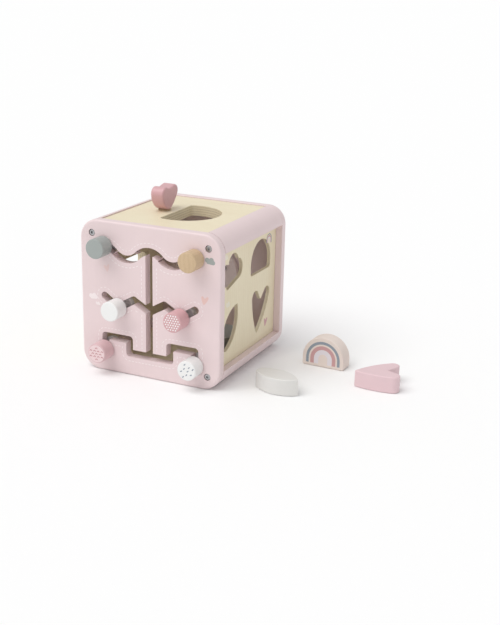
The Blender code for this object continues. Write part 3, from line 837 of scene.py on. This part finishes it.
def plate_slab(low, high, front_edge, back_edge):
    """A rounded square board with rounded edges, standing across Y."""
    slab = rounded_rectangle((low.x, low.z), (high.x, high.z), case().corner, 18)
    deep = high.y - low.y
    thicken(slab, deep)
    edge_bevel(slab, flat_rim(slab, (0,)), back_edge, 5)
    edge_bevel(slab, flat_rim(slab, (deep,)), front_edge, 5)
    return lay(slab, "-Y", (0, high.y, 0))


def screw_seats(end, low_y, high_y):
    """Cutters for the countersunk screw holes in one plate."""
    tools = []
    for corner in CORNERS:
        spot = middle(f"screw_{end}_{corner}")
        low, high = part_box(f"screw_{end}_{corner}")
        head = (high.x - low.x) / 2 + 0.3 * MM
        mouth = 4 * MM
        bore = thicken(disc(head, 32), mouth)
        face, normal = (low_y, "+Y") if end == "front" else (high_y, "-Y")
        step = -1 if end == "front" else 1
        tools.append(lay(bore, normal, (spot.x, face + step * 0.2 * MM, spot.z)))
    return tools


def ease(mesh, width, segments=3):
    """Rounds what a cutter left sharp."""
    edge_bevel(mesh, rim_edges(mesh), width, segments)
    return mesh


def make_front_plate():
    low, high = FRONT_LOW, FRONT_HIGH
    beyond = 3 * MM
    tools = slot_cutters(case().slot, low.y - beyond, high.y + beyond)
    slab = plate_slab(low, high, case().edge, case().inner_edge)
    board = carved(slab, tools + screw_seats("front", low.y, high.y))
    ease(board, case().slot_edge)
    pink = painted("pink_paint_front", palette().pink, 0.4, (0, 0, 1))
    piece("front_board", board, pink, "case", ["front_plate"])


def make_back_plate():
    low, high = BACK_LOW, BACK_HIGH
    hub = thicken(disc(20.5 * MM, 72), 4 * (high.y - low.y))
    hub = lay(hub, "-Y", (0, high.y + 2 * (high.y - low.y), middle("back_dial").z))
    slab = plate_slab(low, high, case().inner_edge, case().edge)
    board = carved(slab, [hub] + screw_seats("back", low.y, high.y))
    ease(board, 0.4 * MM)
    pink = painted("pink_paint_back", palette().pink, 0.4, (0, 0, 1))
    piece("back_board", board, pink, "case", ["back_plate"])


def rail_shape(node):
    """A quarter-round corner rail; a rail on the right side gets a groove where the thin panel sits in it."""
    low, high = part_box(node)
    side = 1 if middle(node).x > 0 else -1
    level = 1 if middle(node).z > middle("front_plate").z else -1
    wide, tall, radius = high.x - low.x, high.z - low.z, case().corner
    mesh = bmesh.new()
    spare = radius - wide
    bend = math.acos(spare / radius)
    pen = Pen(mesh, (0, 0))
    pen.line((radius * math.cos(QUARTER_TURN - bend) - spare, 0))
    pen.arc((-spare, -spare), 2 * bend - QUARTER_TURN).line((0, tall))
    pen.close()
    thicken(mesh, high.y - low.y)
    edge_bevel(mesh, flat_rim(mesh, (0, high.y - low.y)), 0.3 * MM, 2)
    bmesh.ops.scale(mesh, verts=mesh.verts, vec=(side, level, 1))
    inner = (low.x if side > 0 else high.x, low.z if level > 0 else high.z)
    lay(mesh, "-Y", (inner[0], high.y, inner[1]))
    if side > 0:
        panel_low, panel_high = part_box("shape_panel")
        play = Vector((0.3, 5, 0.3)) * MM
        start, end = panel_low - play, panel_high + play
        groove = rectangle((start.x, start.z), (end.x, end.z))
        thicken(groove, panel_high.y - panel_low.y + 2 * play.y)
        mesh = carved(mesh, [lay(groove, "-Y", (0, panel_high.y + play.y, 0))])
    bmesh.ops.recalc_face_normals(mesh, faces=mesh.faces)
    return mesh


def make_rails():
    pink = painted("pink_paint_rail", palette().pink, 0.4, (0, 1, 0))
    for corner in CORNERS:
        node = f"rail_{corner}"
        piece(f"corner_{node}", rail_shape(node), pink, "case", [node])


def slab_between(node, normal):
    """A panel's plain board, drawn across its thin axis."""
    low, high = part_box(node)
    if normal == "+Z":
        board, depth, where = rectangle(low.xy, high.xy), high.z - low.z, (0, 0, low.z)
    else:
        board, depth, where = rectangle(low.yz, high.yz), high.x - low.x, (low.x, 0, 0)
    return lay(thicken(board, depth), normal, where)


def hole_through(outline, normal, where, turn=0.0, reach=30 * MM):
    """A cutter with a given outline, centred on a panel's thickness."""
    tool = thicken(outline, reach)
    bmesh.ops.translate(tool, verts=tool.verts, vec=(0, 0, -reach / 2))
    return lay(tool, normal, where, turn)


def drop_outline():
    """A disc cut flat on its left side, with its two corners rounded."""
    sizes = case()
    bend = math.acos(-sizes.drop_flat / sizes.drop_radius)
    mesh = bmesh.new()
    start = sizes.drop_radius * Vector((math.cos(-bend), math.sin(-bend)))
    pen = Pen(mesh, start)
    pen.arc((0, 0), 2 * bend).close()
    corners = [vert for vert in mesh.verts if abs(abs(vert.co.y) - abs(start.y)) < 0.1 * MM and vert.co.x < 0]
    corner_bevel(mesh, corners, sizes.drop_corner, 6)
    return mesh


def make_top_panel():
    low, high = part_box("top_panel")
    centre = (low + high) / 2
    peg = middle("heart_peg")
    tools = [
        hole_through(drop_outline(), "+Z", centre),
        hole_through(disc(5.5 * MM), "+Z", (peg.x, peg.y, centre.z)),
    ]
    board = ease(carved(slab_between("top_panel", "+Z"), tools), case().hole_edge, 2)
    birch = plywood("birch_ply_top", (0, 0, high.z), (0, 0, 0), 9, high.z - low.z)
    piece("top_board", board, birch, "case", ["top_panel"])


def make_bottom_panel():
    low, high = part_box("bottom_panel")
    board = ease(slab_between("bottom_panel", "+Z"), case().hole_edge, 2)
    birch = plywood("birch_ply_bottom", (0, 0, high.z), (0, 0, 0), 9, high.z - low.z)
    piece("bottom_board", board, birch, "case", ["bottom_panel"])


def make_shape_panel():
    low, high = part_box("shape_panel")
    x = (low.x + high.x) / 2
    play, front = turned().play, FRONT_LOW.y
    spots = (
        (cloud_outline(play), 15, 39.5, 114),
        (arch_outline(play), 0, 110, 98.5),
        (love_outline(play), -13, 103.7, 31.6),
        (leaf_outline(play), 54, 38.5, 56),
    )
    tools = [
        hole_through(outline, "+X", (x, front + y * MM, z * MM), math.radians(turn))
        for outline, turn, y, z in spots
    ]
    board = ease(carved(slab_between("shape_panel", "+X"), tools), case().hole_edge, 2)
    birch = plywood("birch_ply_side", (high.x, 0, 0), (0, QUARTER_TURN, 0), 3, high.x - low.x)
    piece("shape_board", board, birch, "case", ["shape_panel"])


def make_door_panel():
    low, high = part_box("door_panel")
    centre = (low + high) / 2
    sizes = case()
    half = sizes.door_width / 2
    opening = rounded_rectangle((-half, sizes.door_foot), (half, sizes.door_top), sizes.door_corner)
    tools = [hole_through(opening, "+X", (centre.x, centre.y, 0))]
    board = ease(carved(slab_between("door_panel", "+X"), tools), 2 * case().hole_edge, 3)
    birch = plywood("birch_ply_left", (low.x, 0, 0), (0, QUARTER_TURN, 0), 9, high.x - low.x)
    piece("door_board", board, birch, "case", ["door_panel"])


def make_plate_screws():
    """Round heads with a hexagon socket, countersunk in the plates."""
    for end, normal in (("front", "+Y"), ("back", "-Y")):
        for corner in CORNERS:
            node = f"screw_{end}_{corner}"
            low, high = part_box(node)
            radius, deep = (high.x - low.x) / 2, high.y - low.y
            dome, shank = 0.9 * MM, 1.75 * MM
            profile = [(0, 0), (radius - dome, 0), ("arc", (radius - dome, dome), QUARTER_TURN)]
            profile += [(radius, 3 * MM), (shank, 3 * MM), (shank, deep - shank), (0, deep)]
            body = turned_solid(profile, 40)
            key = thicken(disc(1.65 * MM, 6), 3.2 * MM)
            bmesh.ops.translate(key, verts=key.verts, vec=(0, 0, -1.6 * MM))
            body = carved(body, [key])
            face = low.y if end == "front" else high.y
            lay(body, normal, (middle(node).x, face, middle(node).z))
            piece(f"socket_{node}", body, steel(), "case", [node])


def knob_material(name):
    colours = palette()
    if name == "beech":
        spot = middle("beech_knob")
        along = (0, 0, QUARTER_TURN)
        return wooden("beech_turned", colours.beech, colours.beech_dark, 0.14, 0.3, along, spot)
    tones = {
        "grey": ("grey", colours.grey),
        "white": ("white", colours.white),
        "dashed": ("white", colours.white),
        "dotted": ("rose", colours.rose),
        "chevron": ("petal", colours.petal),
    }
    label, tone = tones[name]
    return painted(f"{label}_paint_knob", tone, 0.38, (0, 1, 0))


def make_knobs():
    for name in KNOBS:
        node = f"{name}_knob"
        low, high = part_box(node)
        radius, long, edge = (high.x - low.x) / 2, high.y - low.y, turned().knob_edge
        crown = 0.15 * MM
        profile = [(0, 0), (radius - 0.6 * MM, 0), (radius, 0.6 * MM), (radius, long - edge - crown)]
        profile += [("arc", (radius - edge, long - edge - crown), QUARTER_TURN)]
        profile += [(radius / 2, long - crown / 4), (0, long)]
        body = lay(turned_solid(profile, 72), "-Y", (middle(node).x, high.y, middle(node).z))
        piece(f"turned_{node}", body, knob_material(name), node, [node])


def make_spools():
    """A stem through the slot with a disc behind the plate, in a grey lightened well beyond the grey paint as
    painted light, for the light that falls on the stems in the slots.
    """
    # The stem grey is painted light: lightened so the stems in the shaded slots look lit.
    grey = painted("grey_paint_spool", palette().stem, 0.45, (0, 1, 0))
    for name in KNOBS:
        node = f"{name}_spool"
        low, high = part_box(node)
        radius, stem, disc_t, edge = (high.x - low.x) / 2, 3.6 * MM, 6 * MM, turned().turned_edge
        bore, long = PILOT_R, high.y - low.y
        profile = [(bore, 0), (radius - edge, 0), ("arc", (radius - edge, edge), QUARTER_TURN)]
        profile += [(radius, disc_t - edge), ("arc", (radius - edge, disc_t - edge), QUARTER_TURN)]
        profile += [(stem, disc_t), (stem, long), (bore, long)]
        body = lay(turned_solid(profile, 56), "-Y", (middle(node).x, high.y, middle(node).z))
        piece(f"turned_{node}", body, grey, f"{name}_knob", [node])


def pan_screw(node, normal, body, finish="zinc"):
    """A small pan-head screw with a cross recess; normal is the way its point looks."""
    low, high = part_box(node)
    sides = high - low
    deep = max(sides)
    radius, head, shank = min(sides) / 2, 2 * MM, 1.5 * MM
    inset = radius - head / 2
    profile = [(0, 0), (inset, 0), ("arc", (inset, head / 2), QUARTER_TURN), (radius, head)]
    profile += [(shank, head), (shank, deep - shank), (0, deep)]
    cross = []
    for turn in (0, QUARTER_TURN):
        blade = thicken(rectangle((-1.6 * MM, -0.35 * MM), (1.6 * MM, 0.35 * MM)), 2.4 * MM)
        bmesh.ops.rotate(blade, verts=blade.verts, matrix=Matrix.Rotation(turn, 3, "Z"))
        bmesh.ops.translate(blade, verts=blade.verts, vec=(0, 0, -1.2 * MM))
        cross.append(blade)
    solid = carved(turned_solid(profile, 32), cross)
    centre = (low + high) / 2
    where = {
        "-Y": (centre.x, high.y, centre.z),
        "+Y": (centre.x, low.y, centre.z),
        "+Z": (centre.x, centre.y, low.z),
    }
    piece(f"cross_{node}", lay(solid, normal, where[normal]), steel(finish), body, [node])


def make_small_screws():
    for name in KNOBS:
        pan_screw(f"{name}_knob_screw", "-Y", f"{name}_knob")
    # The dial screws get the near-black steel, so they show as dark spots.
    for letter in "ab":
        pan_screw(f"dial_screw_{letter}", "+Y", "back_dial", "black")
    pan_screw("heart_screw", "+Z", "heart_knob")


def turned_between(node, bore, edge, steps=64):
    """A turned ring or disc that fills a node's box, with rounded edges, standing along Z."""
    low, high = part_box(node)
    sides = high - low
    deep = min(sides)
    radius = max(sides) / 2
    profile = [(bore, 0), (radius - edge, 0), ("arc", (radius - edge, edge), QUARTER_TURN)]
    profile += [(radius, deep - edge), ("arc", (radius - edge, deep - edge), QUARTER_TURN), (bore, deep)]
    return turned_solid(profile, steps)


def make_heart_knob():
    low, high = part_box("heart_knob")
    thick = high.x - low.x
    shape = thicken(heart_outline(*GRIP), thick)
    edge_bevel(shape, flat_rim(shape, (0, thick)), turned().heart_edge, 5)
    centre = middle("heart_peg")
    lay(shape, "+X", (low.x, centre.y, low.z))
    peg_hole = thicken(disc(PEG_HOLE_R), 8.3 * MM)
    shape = carved(shape, [lay(peg_hole, "+Z", (centre.x, centre.y, low.z - 0.3 * MM))])
    rose = painted("rose_paint_heart", palette().rose, 0.38, (0, 0, 1))
    piece("heart_grip", shape, rose, "heart_knob", ["heart_knob"])
    beech = wooden("beech_small", palette().beech, palette().beech_dark, 0.3, 0.3)
    for node, bore in (("heart_washer", PEG_HOLE_R), ("heart_keeper", PILOT_R)):
        ring = turned_between(node, bore, 0.5 * MM)
        spot = middle(node)
        lay(ring, "+Z", (spot.x, spot.y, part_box(node)[0].z))
        piece(f"turned_{node}", ring, beech, "heart_knob", [node])
    low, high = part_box("heart_peg")
    deep, bore, bite = high.z - low.z, PILOT_R, 12 * MM
    radius = (high.x - low.x) / 2
    ease_r = 0.5 * MM
    profile = [(0, bite), (bore, bite), (bore, 0), (radius, 0)]
    profile += [(radius, deep - ease_r), (radius - ease_r, deep), (0, deep)]
    dowel = lay(turned_solid(profile, 40), "+Z", (middle("heart_peg").x, middle("heart_peg").y, low.z))
    piece("heart_dowel", dowel, beech, "heart_knob", ["heart_peg"])


def make_dial():
    low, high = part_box("back_dial")
    radius, edge, hub = (high.x - low.x) / 2, 2.4 * MM, 20 * MM
    face_t = 8 * MM
    long = high.y - low.y
    profile = [(0, 0), (hub, 0), (hub, long - face_t), (radius - 0.8 * MM, long - face_t)]
    profile += [("arc", (radius - 0.8 * MM, long - face_t + 0.8 * MM), QUARTER_TURN), (radius, long - edge)]
    profile += [("arc", (radius - edge, long - edge), QUARTER_TURN), (0, long)]
    solid = lay(turned_solid(profile, 96), "+Y", (0, low.y, middle("back_dial").z))
    pilots = []
    for letter in "ab":
        spot = middle(f"dial_screw_{letter}")
        pilots.append(lay(thicken(disc(PILOT_R, 24), 22 * MM), "+Y", (spot.x, low.y - 11.7 * MM, spot.z)))
    rose = painted("rose_paint_dial", palette().rose, 0.38, (0, 0, 1))
    piece("turning_dial", carved(solid, pilots), rose, "back_dial", ["back_dial"])
    disc_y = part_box("back_disc")[0].y
    ring = lay(turned_between("back_disc", 0, 0.8 * MM, 80), "+Y", (0, disc_y, middle("back_disc").z))
    holes = []
    for letter in "ab":
        spot = middle(f"dial_screw_{letter}")
        holes.append(lay(thicken(disc(PILOT_R, 24), 12 * MM), "+Y", (spot.x, disc_y - 3 * MM, spot.z)))
    # The disc gets the lightened pink as painted light, so it shows brighter than the back plate through the
    # side holes.
    pink = painted("pink_paint_disc", palette().light, 0.4, (0, 0, 1))
    piece("turning_disc", carved(ring, holes), pink, "back_dial", ["back_disc"])


def block_solid(outline):
    thicken(outline, BLOCK_T)
    edge_bevel(outline, flat_rim(outline, (0, BLOCK_T)), turned().block_edge, 4)
    return outline


def make_blocks():
    colours = palette()
    front = FRONT_LOW.y
    leaf = lay(block_solid(leaf_outline()), "+Z", (128.4 * MM, front + 33.1 * MM, 0), math.radians(-12))
    stone = painted("stone_paint", colours.stone, 0.36)
    piece("leaf_shape", leaf, stone, "leaf_block", ["leaf_block"])
    love = block_solid(love_outline())
    bmesh.ops.scale(love, verts=love.verts, vec=(-1, 1, 1))
    bmesh.ops.recalc_face_normals(love, faces=love.faces)
    lay(love, "+Z", (193.6 * MM, front + 80.5 * MM, 0), math.radians(28 - 90))
    blush = painted("blush_paint", colours.blush, 0.36)
    piece("heart_shape", love, blush, "heart_block", ["heart_block"])
    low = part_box("cloud_block")[0]
    cloud = lay(block_solid(cloud_outline()), "+Z", (39.6 * MM, front + 92.7 * MM, low.z), math.radians(-54))
    grey = painted("grey_paint_block", colours.grey, 0.4)
    piece("cloud_shape", cloud, grey, "cloud_block", ["cloud_block"])
    arch = stand_rainbow(block_solid(arch_outline()), 0)
    cream = painted("cream_paint", colours.cream, 0.38)
    piece("rainbow_shape", arch, cream, "rainbow_block", ["rainbow_block"])


def stand_rainbow(mesh, ahead):
    """Stands a flat drawing up as the rainbow block's face, at a height ahead of the back of the block."""
    lay(mesh, "-Y", (0, BLOCK_T - ahead, 0))
    bmesh.ops.rotate(mesh, verts=mesh.verts, matrix=Matrix.Rotation(math.radians(-2.4), 3, "Z"))
    bmesh.ops.translate(mesh, verts=mesh.verts, vec=(145.6 * MM, FRONT_LOW.y + 114.7 * MM, 0))
    return mesh


# Prints


def printed(name, flats, normal, face, ink, body):
    """Ink on a face: flat shapes raised by the film's thickness, laid on a point of the face."""
    film = inks().film
    solids = [thicken(flat, film) for flat in flats]
    whole = lay(gather(solids), normal, face)
    bmesh.ops.recalc_face_normals(whole, faces=whole.faces)
    return piece(name, whole, ink, body)


def moved(mesh, where, turn=0.0, scale=1.0):
    bmesh.ops.scale(mesh, verts=mesh.verts, vec=(scale, scale, 1))
    bmesh.ops.rotate(mesh, verts=mesh.verts, matrix=Matrix.Rotation(turn, 3, "Z"))
    bmesh.ops.translate(mesh, verts=mesh.verts, vec=(*where, 0))
    return mesh


def dash(long, wide, where, turn):
    """A short stroke with round ends."""
    flat = rounded_rectangle((-long / 2, -wide / 2), (long / 2, wide / 2), wide * 0.49, 3)
    return moved(flat, where, turn)


def distance_to_run(spot, start, end):
    start, end = Vector(start), Vector(end)
    way = end - start
    share = max(0, min(1, (spot - start).dot(way) / way.length_squared))
    return (spot - start - share * way).length


def distance_to_arc(spot, centre, radius, start, sweep):
    """Distance from a point to an arc's centreline, or to the nearer of its ends."""
    out = spot - Vector(centre)
    middle_turn = start + sweep / 2
    off = (math.atan2(out.y, out.x) - middle_turn + HALF_TURN) % FULL_TURN - HALF_TURN
    if abs(off) <= abs(sweep) / 2:
        return abs(out.length - radius)
    ends = [Vector(centre) + radius * Vector((math.cos(t), math.sin(t))) for t in (start, start + sweep)]
    return min((spot - end).length for end in ends)


def stitch_spots():
    """Places and headings of the stitches, along both sides of every slot at an even distance."""
    sizes = inks()
    reach = case().slot / 2 + sizes.stitch_inset
    pitch = sizes.stitch + sizes.stitch_gap
    radius = wave_arc()[0]
    lines, arcs = straight_runs(), wave_runs()
    spots = []
    for start, end in lines:
        way = Vector(end) - Vector(start)
        count = max(1, round(way.length / pitch))
        side = Vector((way.y, -way.x)).normalized() * reach
        heading = math.atan2(way.y, way.x)
        for sign in (-1, 1):
            for i in range(count + 1):
                spots.append((Vector(start) + way * (i / count) + sign * side, heading))
        for end_point, out in ((end, heading), (start, heading + HALF_TURN)):
            spots += round_stitches(end_point, reach, out - QUARTER_TURN, HALF_TURN, pitch)
    for centre, start, sweep in arcs:
        for r in (radius - reach, radius + reach):
            spots += round_stitches(centre, r, start, sweep, pitch)
    for end, start, turn in ((arcs[0], QUARTER_TURN, HALF_TURN), (arcs[-1], -QUARTER_TURN, HALF_TURN)):
        centre = (end[0][0], end[0][1] + radius)
        spots += round_stitches(centre, reach, start, turn, pitch)
    kept = []
    for spot, heading in spots:
        near = min(distance_to_run(spot, *line) for line in lines)
        near = min(near, min(distance_to_arc(spot, c, radius, s, w) for c, s, w in arcs))
        crowded = any((spot - other).length < 0.8 * pitch for other, _ in kept)
        if near > reach - 0.2 * MM and not crowded:
            kept.append((spot, heading))
    return kept


def round_stitches(centre, radius, start, sweep, pitch):
    count = max(1, round(abs(sweep) * radius / pitch))
    turns = [start + sweep * i / count for i in range(count + 1)]
    centre = Vector(centre)
    return [(centre + radius * Vector((math.cos(t), math.sin(t))), t + QUARTER_TURN) for t in turns]


def make_front_print():
    sizes, colours = inks(), palette()
    face = (0, FRONT_LOW.y, 0)
    white = inked("stitch_ink", colours.stitch)
    stitches = [dash(sizes.stitch, sizes.stitch_width, spot, turn) for spot, turn in stitch_spots()]
    printed("front_stitches", stitches, "-Y", face, white, "case")
    cloud = moved(cloud_outline(), (67.8 * MM, 134 * MM), math.radians(-6), 0.24)
    printed("front_grey_cloud", [cloud], "-Y", face, inked("grey_ink", colours.grey), "case")
    left = moved(love_outline(), (-48.5 * MM, 107.5 * MM), math.radians(8), 0.16)
    printed("front_left_heart", [left], "-Y", face, inked("faded_ink", colours.faded), "case")
    right = moved(love_outline(), (61.5 * MM, 89 * MM), math.radians(-10), 0.19)
    printed("front_right_heart", [right], "-Y", face, inked("peach_ink", colours.peach), "case")
    clouds = [
        moved(cloud_outline(), (-66 * MM, 79 * MM), math.radians(5), 0.22),
        moved(cloud_outline(), (-60.5 * MM, 72 * MM), math.radians(-5), 0.12),
    ]
    printed("front_white_clouds", clouds, "-Y", face, white, "case")


def ring_sector(inner, outer, start, sweep):
    return arc_band((0, 0), (inner + outer) / 2, start, sweep, outer - inner)


def rainbow_inks():
    colours = palette()
    return (
        ("slate", colours.slate, "grey_paint"),
        ("brick", colours.brick, "rose_paint"),
        ("lilac", colours.lilac, "white_paint"),
    )


def rainbow_bands(base, scale=1.0):
    """The three bands of a rainbow with straight feet: slate outside, red inside it, then lilac."""
    bands = []
    for high, low in ((19.4, 16.4), (14.5, 10.4), (10.3, 5.2)):
        half = ring_sector(low * MM * scale, high * MM * scale, 0, HALF_TURN)
        size = MM * scale
        sides = ((low, high), (-high, -low))
        feet = [rectangle((start * size, -base), (end * size, 0)) for start, end in sides]
        bands.append([half, *feet])
    return bands


def make_side_print():
    colours = palette()
    face = (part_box("shape_panel")[1].x, 0, 0)
    front = FRONT_LOW.y
    for flats, (name, rgb, slot) in zip(rainbow_bands(3 * MM, 0.36), rainbow_inks()):
        spots = [moved(flat, (front + 130 * MM, 127.5 * MM), math.radians(-8)) for flat in flats]
        printed(f"side_rainbow_{name}", spots, "+X", face, inked(f"{name}_ink", rgb), "case")
    heart = moved(love_outline(), (front + 125 * MM, 31.5 * MM), math.radians(-14), 0.2)
    printed("side_heart", [heart], "+X", face, inked("pink_ink", colours.rose), "case")
    clouds = [
        moved(cloud_outline(), (front + 25.4 * MM, 132.2 * MM), 0, 0.2),
        moved(cloud_outline(), (front + 31.7 * MM, 81.9 * MM), 0, 0.2),
    ]
    printed("side_clouds", clouds, "+X", face, inked("faint_ink", colours.faint), "case")


def knob_face(name):
    """The end face of a knob, as a point to lay a print on."""
    low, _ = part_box(f"{name}_knob")
    spot = middle(f"{name}_knob")
    return (spot.x, low.y + 0.06 * MM, spot.z)


def lattice(across, up, reach, stagger=0.0):
    """Points in even rows within a circle; stagger shifts every second row by that share of the spacing."""
    rows = range(-8, 9)
    spots = (Vector(((column + row % 2 * stagger) * across, row * up)) for row in rows for column in rows)
    return [spot for spot in spots if spot.length < reach]


def make_knob_prints():
    sizes, colours = inks(), palette()
    low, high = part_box("dotted_knob")
    reach = (high.x - low.x) / 2 - turned().knob_edge
    white = inked("white_ink", colours.ink_white)
    spots = lattice(sizes.dot_pitch, 0.87 * sizes.dot_pitch, reach - sizes.dot / 2, 0.5)
    dots = [moved(disc(sizes.dot / 2, 16), spot) for spot in spots]
    printed("dotted_knob_dots", dots, "-Y", knob_face("dotted"), white, "dotted_knob")
    face = Vector(knob_face("chevron"))
    ground = inked("petal_ink", colours.petal_ground)
    printed("chevron_knob_ground", [disc(reach, 72)], "-Y", face, ground, "chevron_knob")
    strokes = []
    for spot in lattice(4.4 * MM, 3 * MM, reach - 1.9 * MM, 0.5):
        for lean in (-1, 1):
            beside = spot + Vector((lean * 0.7 * MM, 0))
            strokes.append(dash(2 * MM, 0.8 * MM, beside, lean * math.radians(-42)))
    dark = inked("chevron_ink", colours.chevron)
    face.y -= sizes.film
    printed("chevron_knob_chevrons", strokes, "-Y", face, dark, "chevron_knob")
    ticks = []
    count = 9
    golden = math.radians(137.5)
    for i in range(count):
        spot = 0.88 * reach * math.sqrt((i + 0.4) / count) * toward(i * golden)
        ticks.append(dash(2.5 * MM, 1.1 * MM, spot, math.radians(40 + 12 * math.sin(i))))
    slate = inked("slate_ink", colours.slate)
    printed("dashed_knob_dashes", ticks, "-Y", knob_face("dashed"), slate, "dashed_knob")


def make_rainbow_print():
    film = inks().film
    spring = ARCH_TOP - ARCH_HALF
    for flats, (name, rgb, slot) in zip(rainbow_bands(spring - 3.4 * MM), rainbow_inks()):
        whole = gather([thicken(flat, film) for flat in flats])
        bmesh.ops.translate(whole, verts=whole.verts, vec=(0, spring, BLOCK_T))
        bmesh.ops.recalc_face_normals(whole, faces=whole.faces)
        stand_rainbow(whole, 0)
        piece(f"rainbow_{name}", whole, inked(f"{name}_ink", rgb), "rainbow_block")


# Stage


def make_floor():
    mesh = rectangle((-20, -20), (20, 20))
    bmesh.ops.translate(mesh, verts=mesh.verts, vec=(0, 0, -0.1 * MM))
    data = bpy.data.meshes.new("floor")
    mesh.to_mesh(data)
    mesh.free()
    floor = bpy.data.objects.new("floor", data)
    bpy.context.scene.collection.objects.link(floor)
    made = bpy.data.materials.new("floor")
    made.use_nodes = True
    shader = made.node_tree.nodes["Principled BSDF"]
    shader.inputs["Base Color"].default_value = (0.94, 0.94, 0.94, 1)
    shader.inputs["Roughness"].default_value = 0.8
    shader.inputs["Specular IOR Level"].default_value = 0
    data.materials.append(made)


def make_lights():
    world = bpy.data.worlds.new("studio")
    world.use_nodes = True
    world.node_tree.nodes["Background"].inputs["Color"].default_value = (1, 1, 1, 1)
    world.node_tree.nodes["Background"].inputs["Strength"].default_value = 0.62
    bpy.context.scene.world = world
    data = bpy.data.lights.new("softbox", "SUN")
    data.energy = 1.6
    data.angle = math.radians(50)
    light = bpy.data.objects.new("softbox", data)
    light.rotation_euler = Vector((0.3, 0.42, -0.86)).to_track_quat("-Z", "Y").to_euler()
    bpy.context.scene.collection.objects.link(light)
    bpy.context.scene.view_settings.view_transform = "Standard"


def make_camera():
    data = bpy.data.cameras.new("camera")
    data.lens = 61.15
    data.sensor_width = 36
    camera = bpy.data.objects.new("camera", data)
    swing = Matrix.Rotation(math.radians(24.51), 4, "Z")
    tilt = Matrix.Rotation(QUARTER_TURN - math.radians(18.1), 4, "X")
    lean = Matrix.Rotation(math.radians(1.36), 4, "Z")
    camera.matrix_world = Matrix.Translation((0.51327, FRONT_LOW.y - 0.88127, 0.40579)) @ swing @ tilt @ lean
    bpy.context.scene.collection.objects.link(camera)
    bpy.context.scene.camera = camera


# Operators and panel


class SorterOperator(bpy.types.Operator):
    """Builds part of the shape sorter."""

    bl_options = {"REGISTER", "UNDO"}
    steps = ()

    def execute(self, context):
        for step in self.steps:
            step()
        return {"FINISHED"}


class SORTER_OT_plates(SorterOperator):
    """Build the slotted front board and the back board"""

    bl_idname = "sorter.plates"
    bl_label = "Plates"
    steps = (make_front_plate, make_back_plate)


class SORTER_OT_rails(SorterOperator):
    """Build the four corner rails"""

    bl_idname = "sorter.rails"
    bl_label = "Corner Rails"
    steps = (make_rails,)


class SORTER_OT_panels(SorterOperator):
    """Build the plywood panels with their holes"""

    bl_idname = "sorter.panels"
    bl_label = "Plywood Panels"
    steps = (make_top_panel, make_bottom_panel, make_shape_panel, make_door_panel)


class SORTER_OT_screws(SorterOperator):
    """Build the plate screws and the small screws"""

    bl_idname = "sorter.screws"
    bl_label = "Screws"
    steps = (make_plate_screws, make_small_screws)


class SORTER_OT_knobs(SorterOperator):
    """Build the sliding knobs and their spools"""

    bl_idname = "sorter.knobs"
    bl_label = "Sliding Knobs"
    steps = (make_knobs, make_spools, make_knob_prints)


class SORTER_OT_turning(SorterOperator):
    """Build the heart knob and the dial"""

    bl_idname = "sorter.turning"
    bl_label = "Turning Pieces"
    steps = (make_heart_knob, make_dial)


class SORTER_OT_blocks(SorterOperator):
    """Build the loose blocks"""

    bl_idname = "sorter.blocks"
    bl_label = "Blocks"
    steps = (make_blocks, make_rainbow_print)


class SORTER_OT_prints(SorterOperator):
    """Print the decoration on the boards"""

    bl_idname = "sorter.prints"
    bl_label = "Board Prints"
    steps = (make_front_print, make_side_print)


class SORTER_OT_stage(SorterOperator):
    """Set the floor, the lights and the camera"""

    bl_idname = "sorter.stage"
    bl_label = "Stage"
    steps = (make_floor, make_lights, make_camera)


OPERATORS = (
    SORTER_OT_plates,
    SORTER_OT_rails,
    SORTER_OT_panels,
    SORTER_OT_screws,
    SORTER_OT_knobs,
    SORTER_OT_turning,
    SORTER_OT_blocks,
    SORTER_OT_prints,
    SORTER_OT_stage,
)
GROUPS = {
    "sorter_case": CaseSizes,
    "sorter_pieces": PieceSizes,
    "sorter_prints": PrintSizes,
    "sorter_colours": SorterColours,
}


class SORTER_PT_sidebar(bpy.types.Panel):
    """Sizes, colours and pieces of the shape sorter"""

    bl_label = "Shape Sorter"
    bl_idname = "SORTER_PT_sidebar"
    bl_space_type = "VIEW_3D"
    bl_region_type = "UI"
    bl_category = "Shape Sorter"

    def draw(self, context):
        for operator in OPERATORS:
            self.layout.operator(operator.bl_idname)
        for attribute in GROUPS:
            group = getattr(context.scene, attribute)
            box = self.layout.box()
            for name in group.__annotations__:
                box.prop(group, name)


def register():
    for group in GROUPS.values():
        bpy.utils.register_class(group)
    for attribute, group in GROUPS.items():
        setattr(bpy.types.Scene, attribute, bpy.props.PointerProperty(type=group))
    for made in (*OPERATORS, SORTER_PT_sidebar):
        bpy.utils.register_class(made)


def unregister():
    for made in (SORTER_PT_sidebar, *reversed(OPERATORS)):
        bpy.utils.unregister_class(made)
    for attribute in GROUPS:
        delattr(bpy.types.Scene, attribute)
    for group in GROUPS.values():
        bpy.utils.unregister_class(group)


def corners(box):
    return [list(map(float, corner)) for corner in box]


def main():
    register()
    bpy.ops.sorter.stage()
    bpy.ops.sorter.plates()
    bpy.ops.sorter.rails()
    bpy.ops.sorter.panels()
    bpy.ops.sorter.screws()
    bpy.ops.sorter.knobs()
    bpy.ops.sorter.turning()
    bpy.ops.sorter.blocks()
    bpy.ops.sorter.prints()


if __name__ == "__main__":
    main()
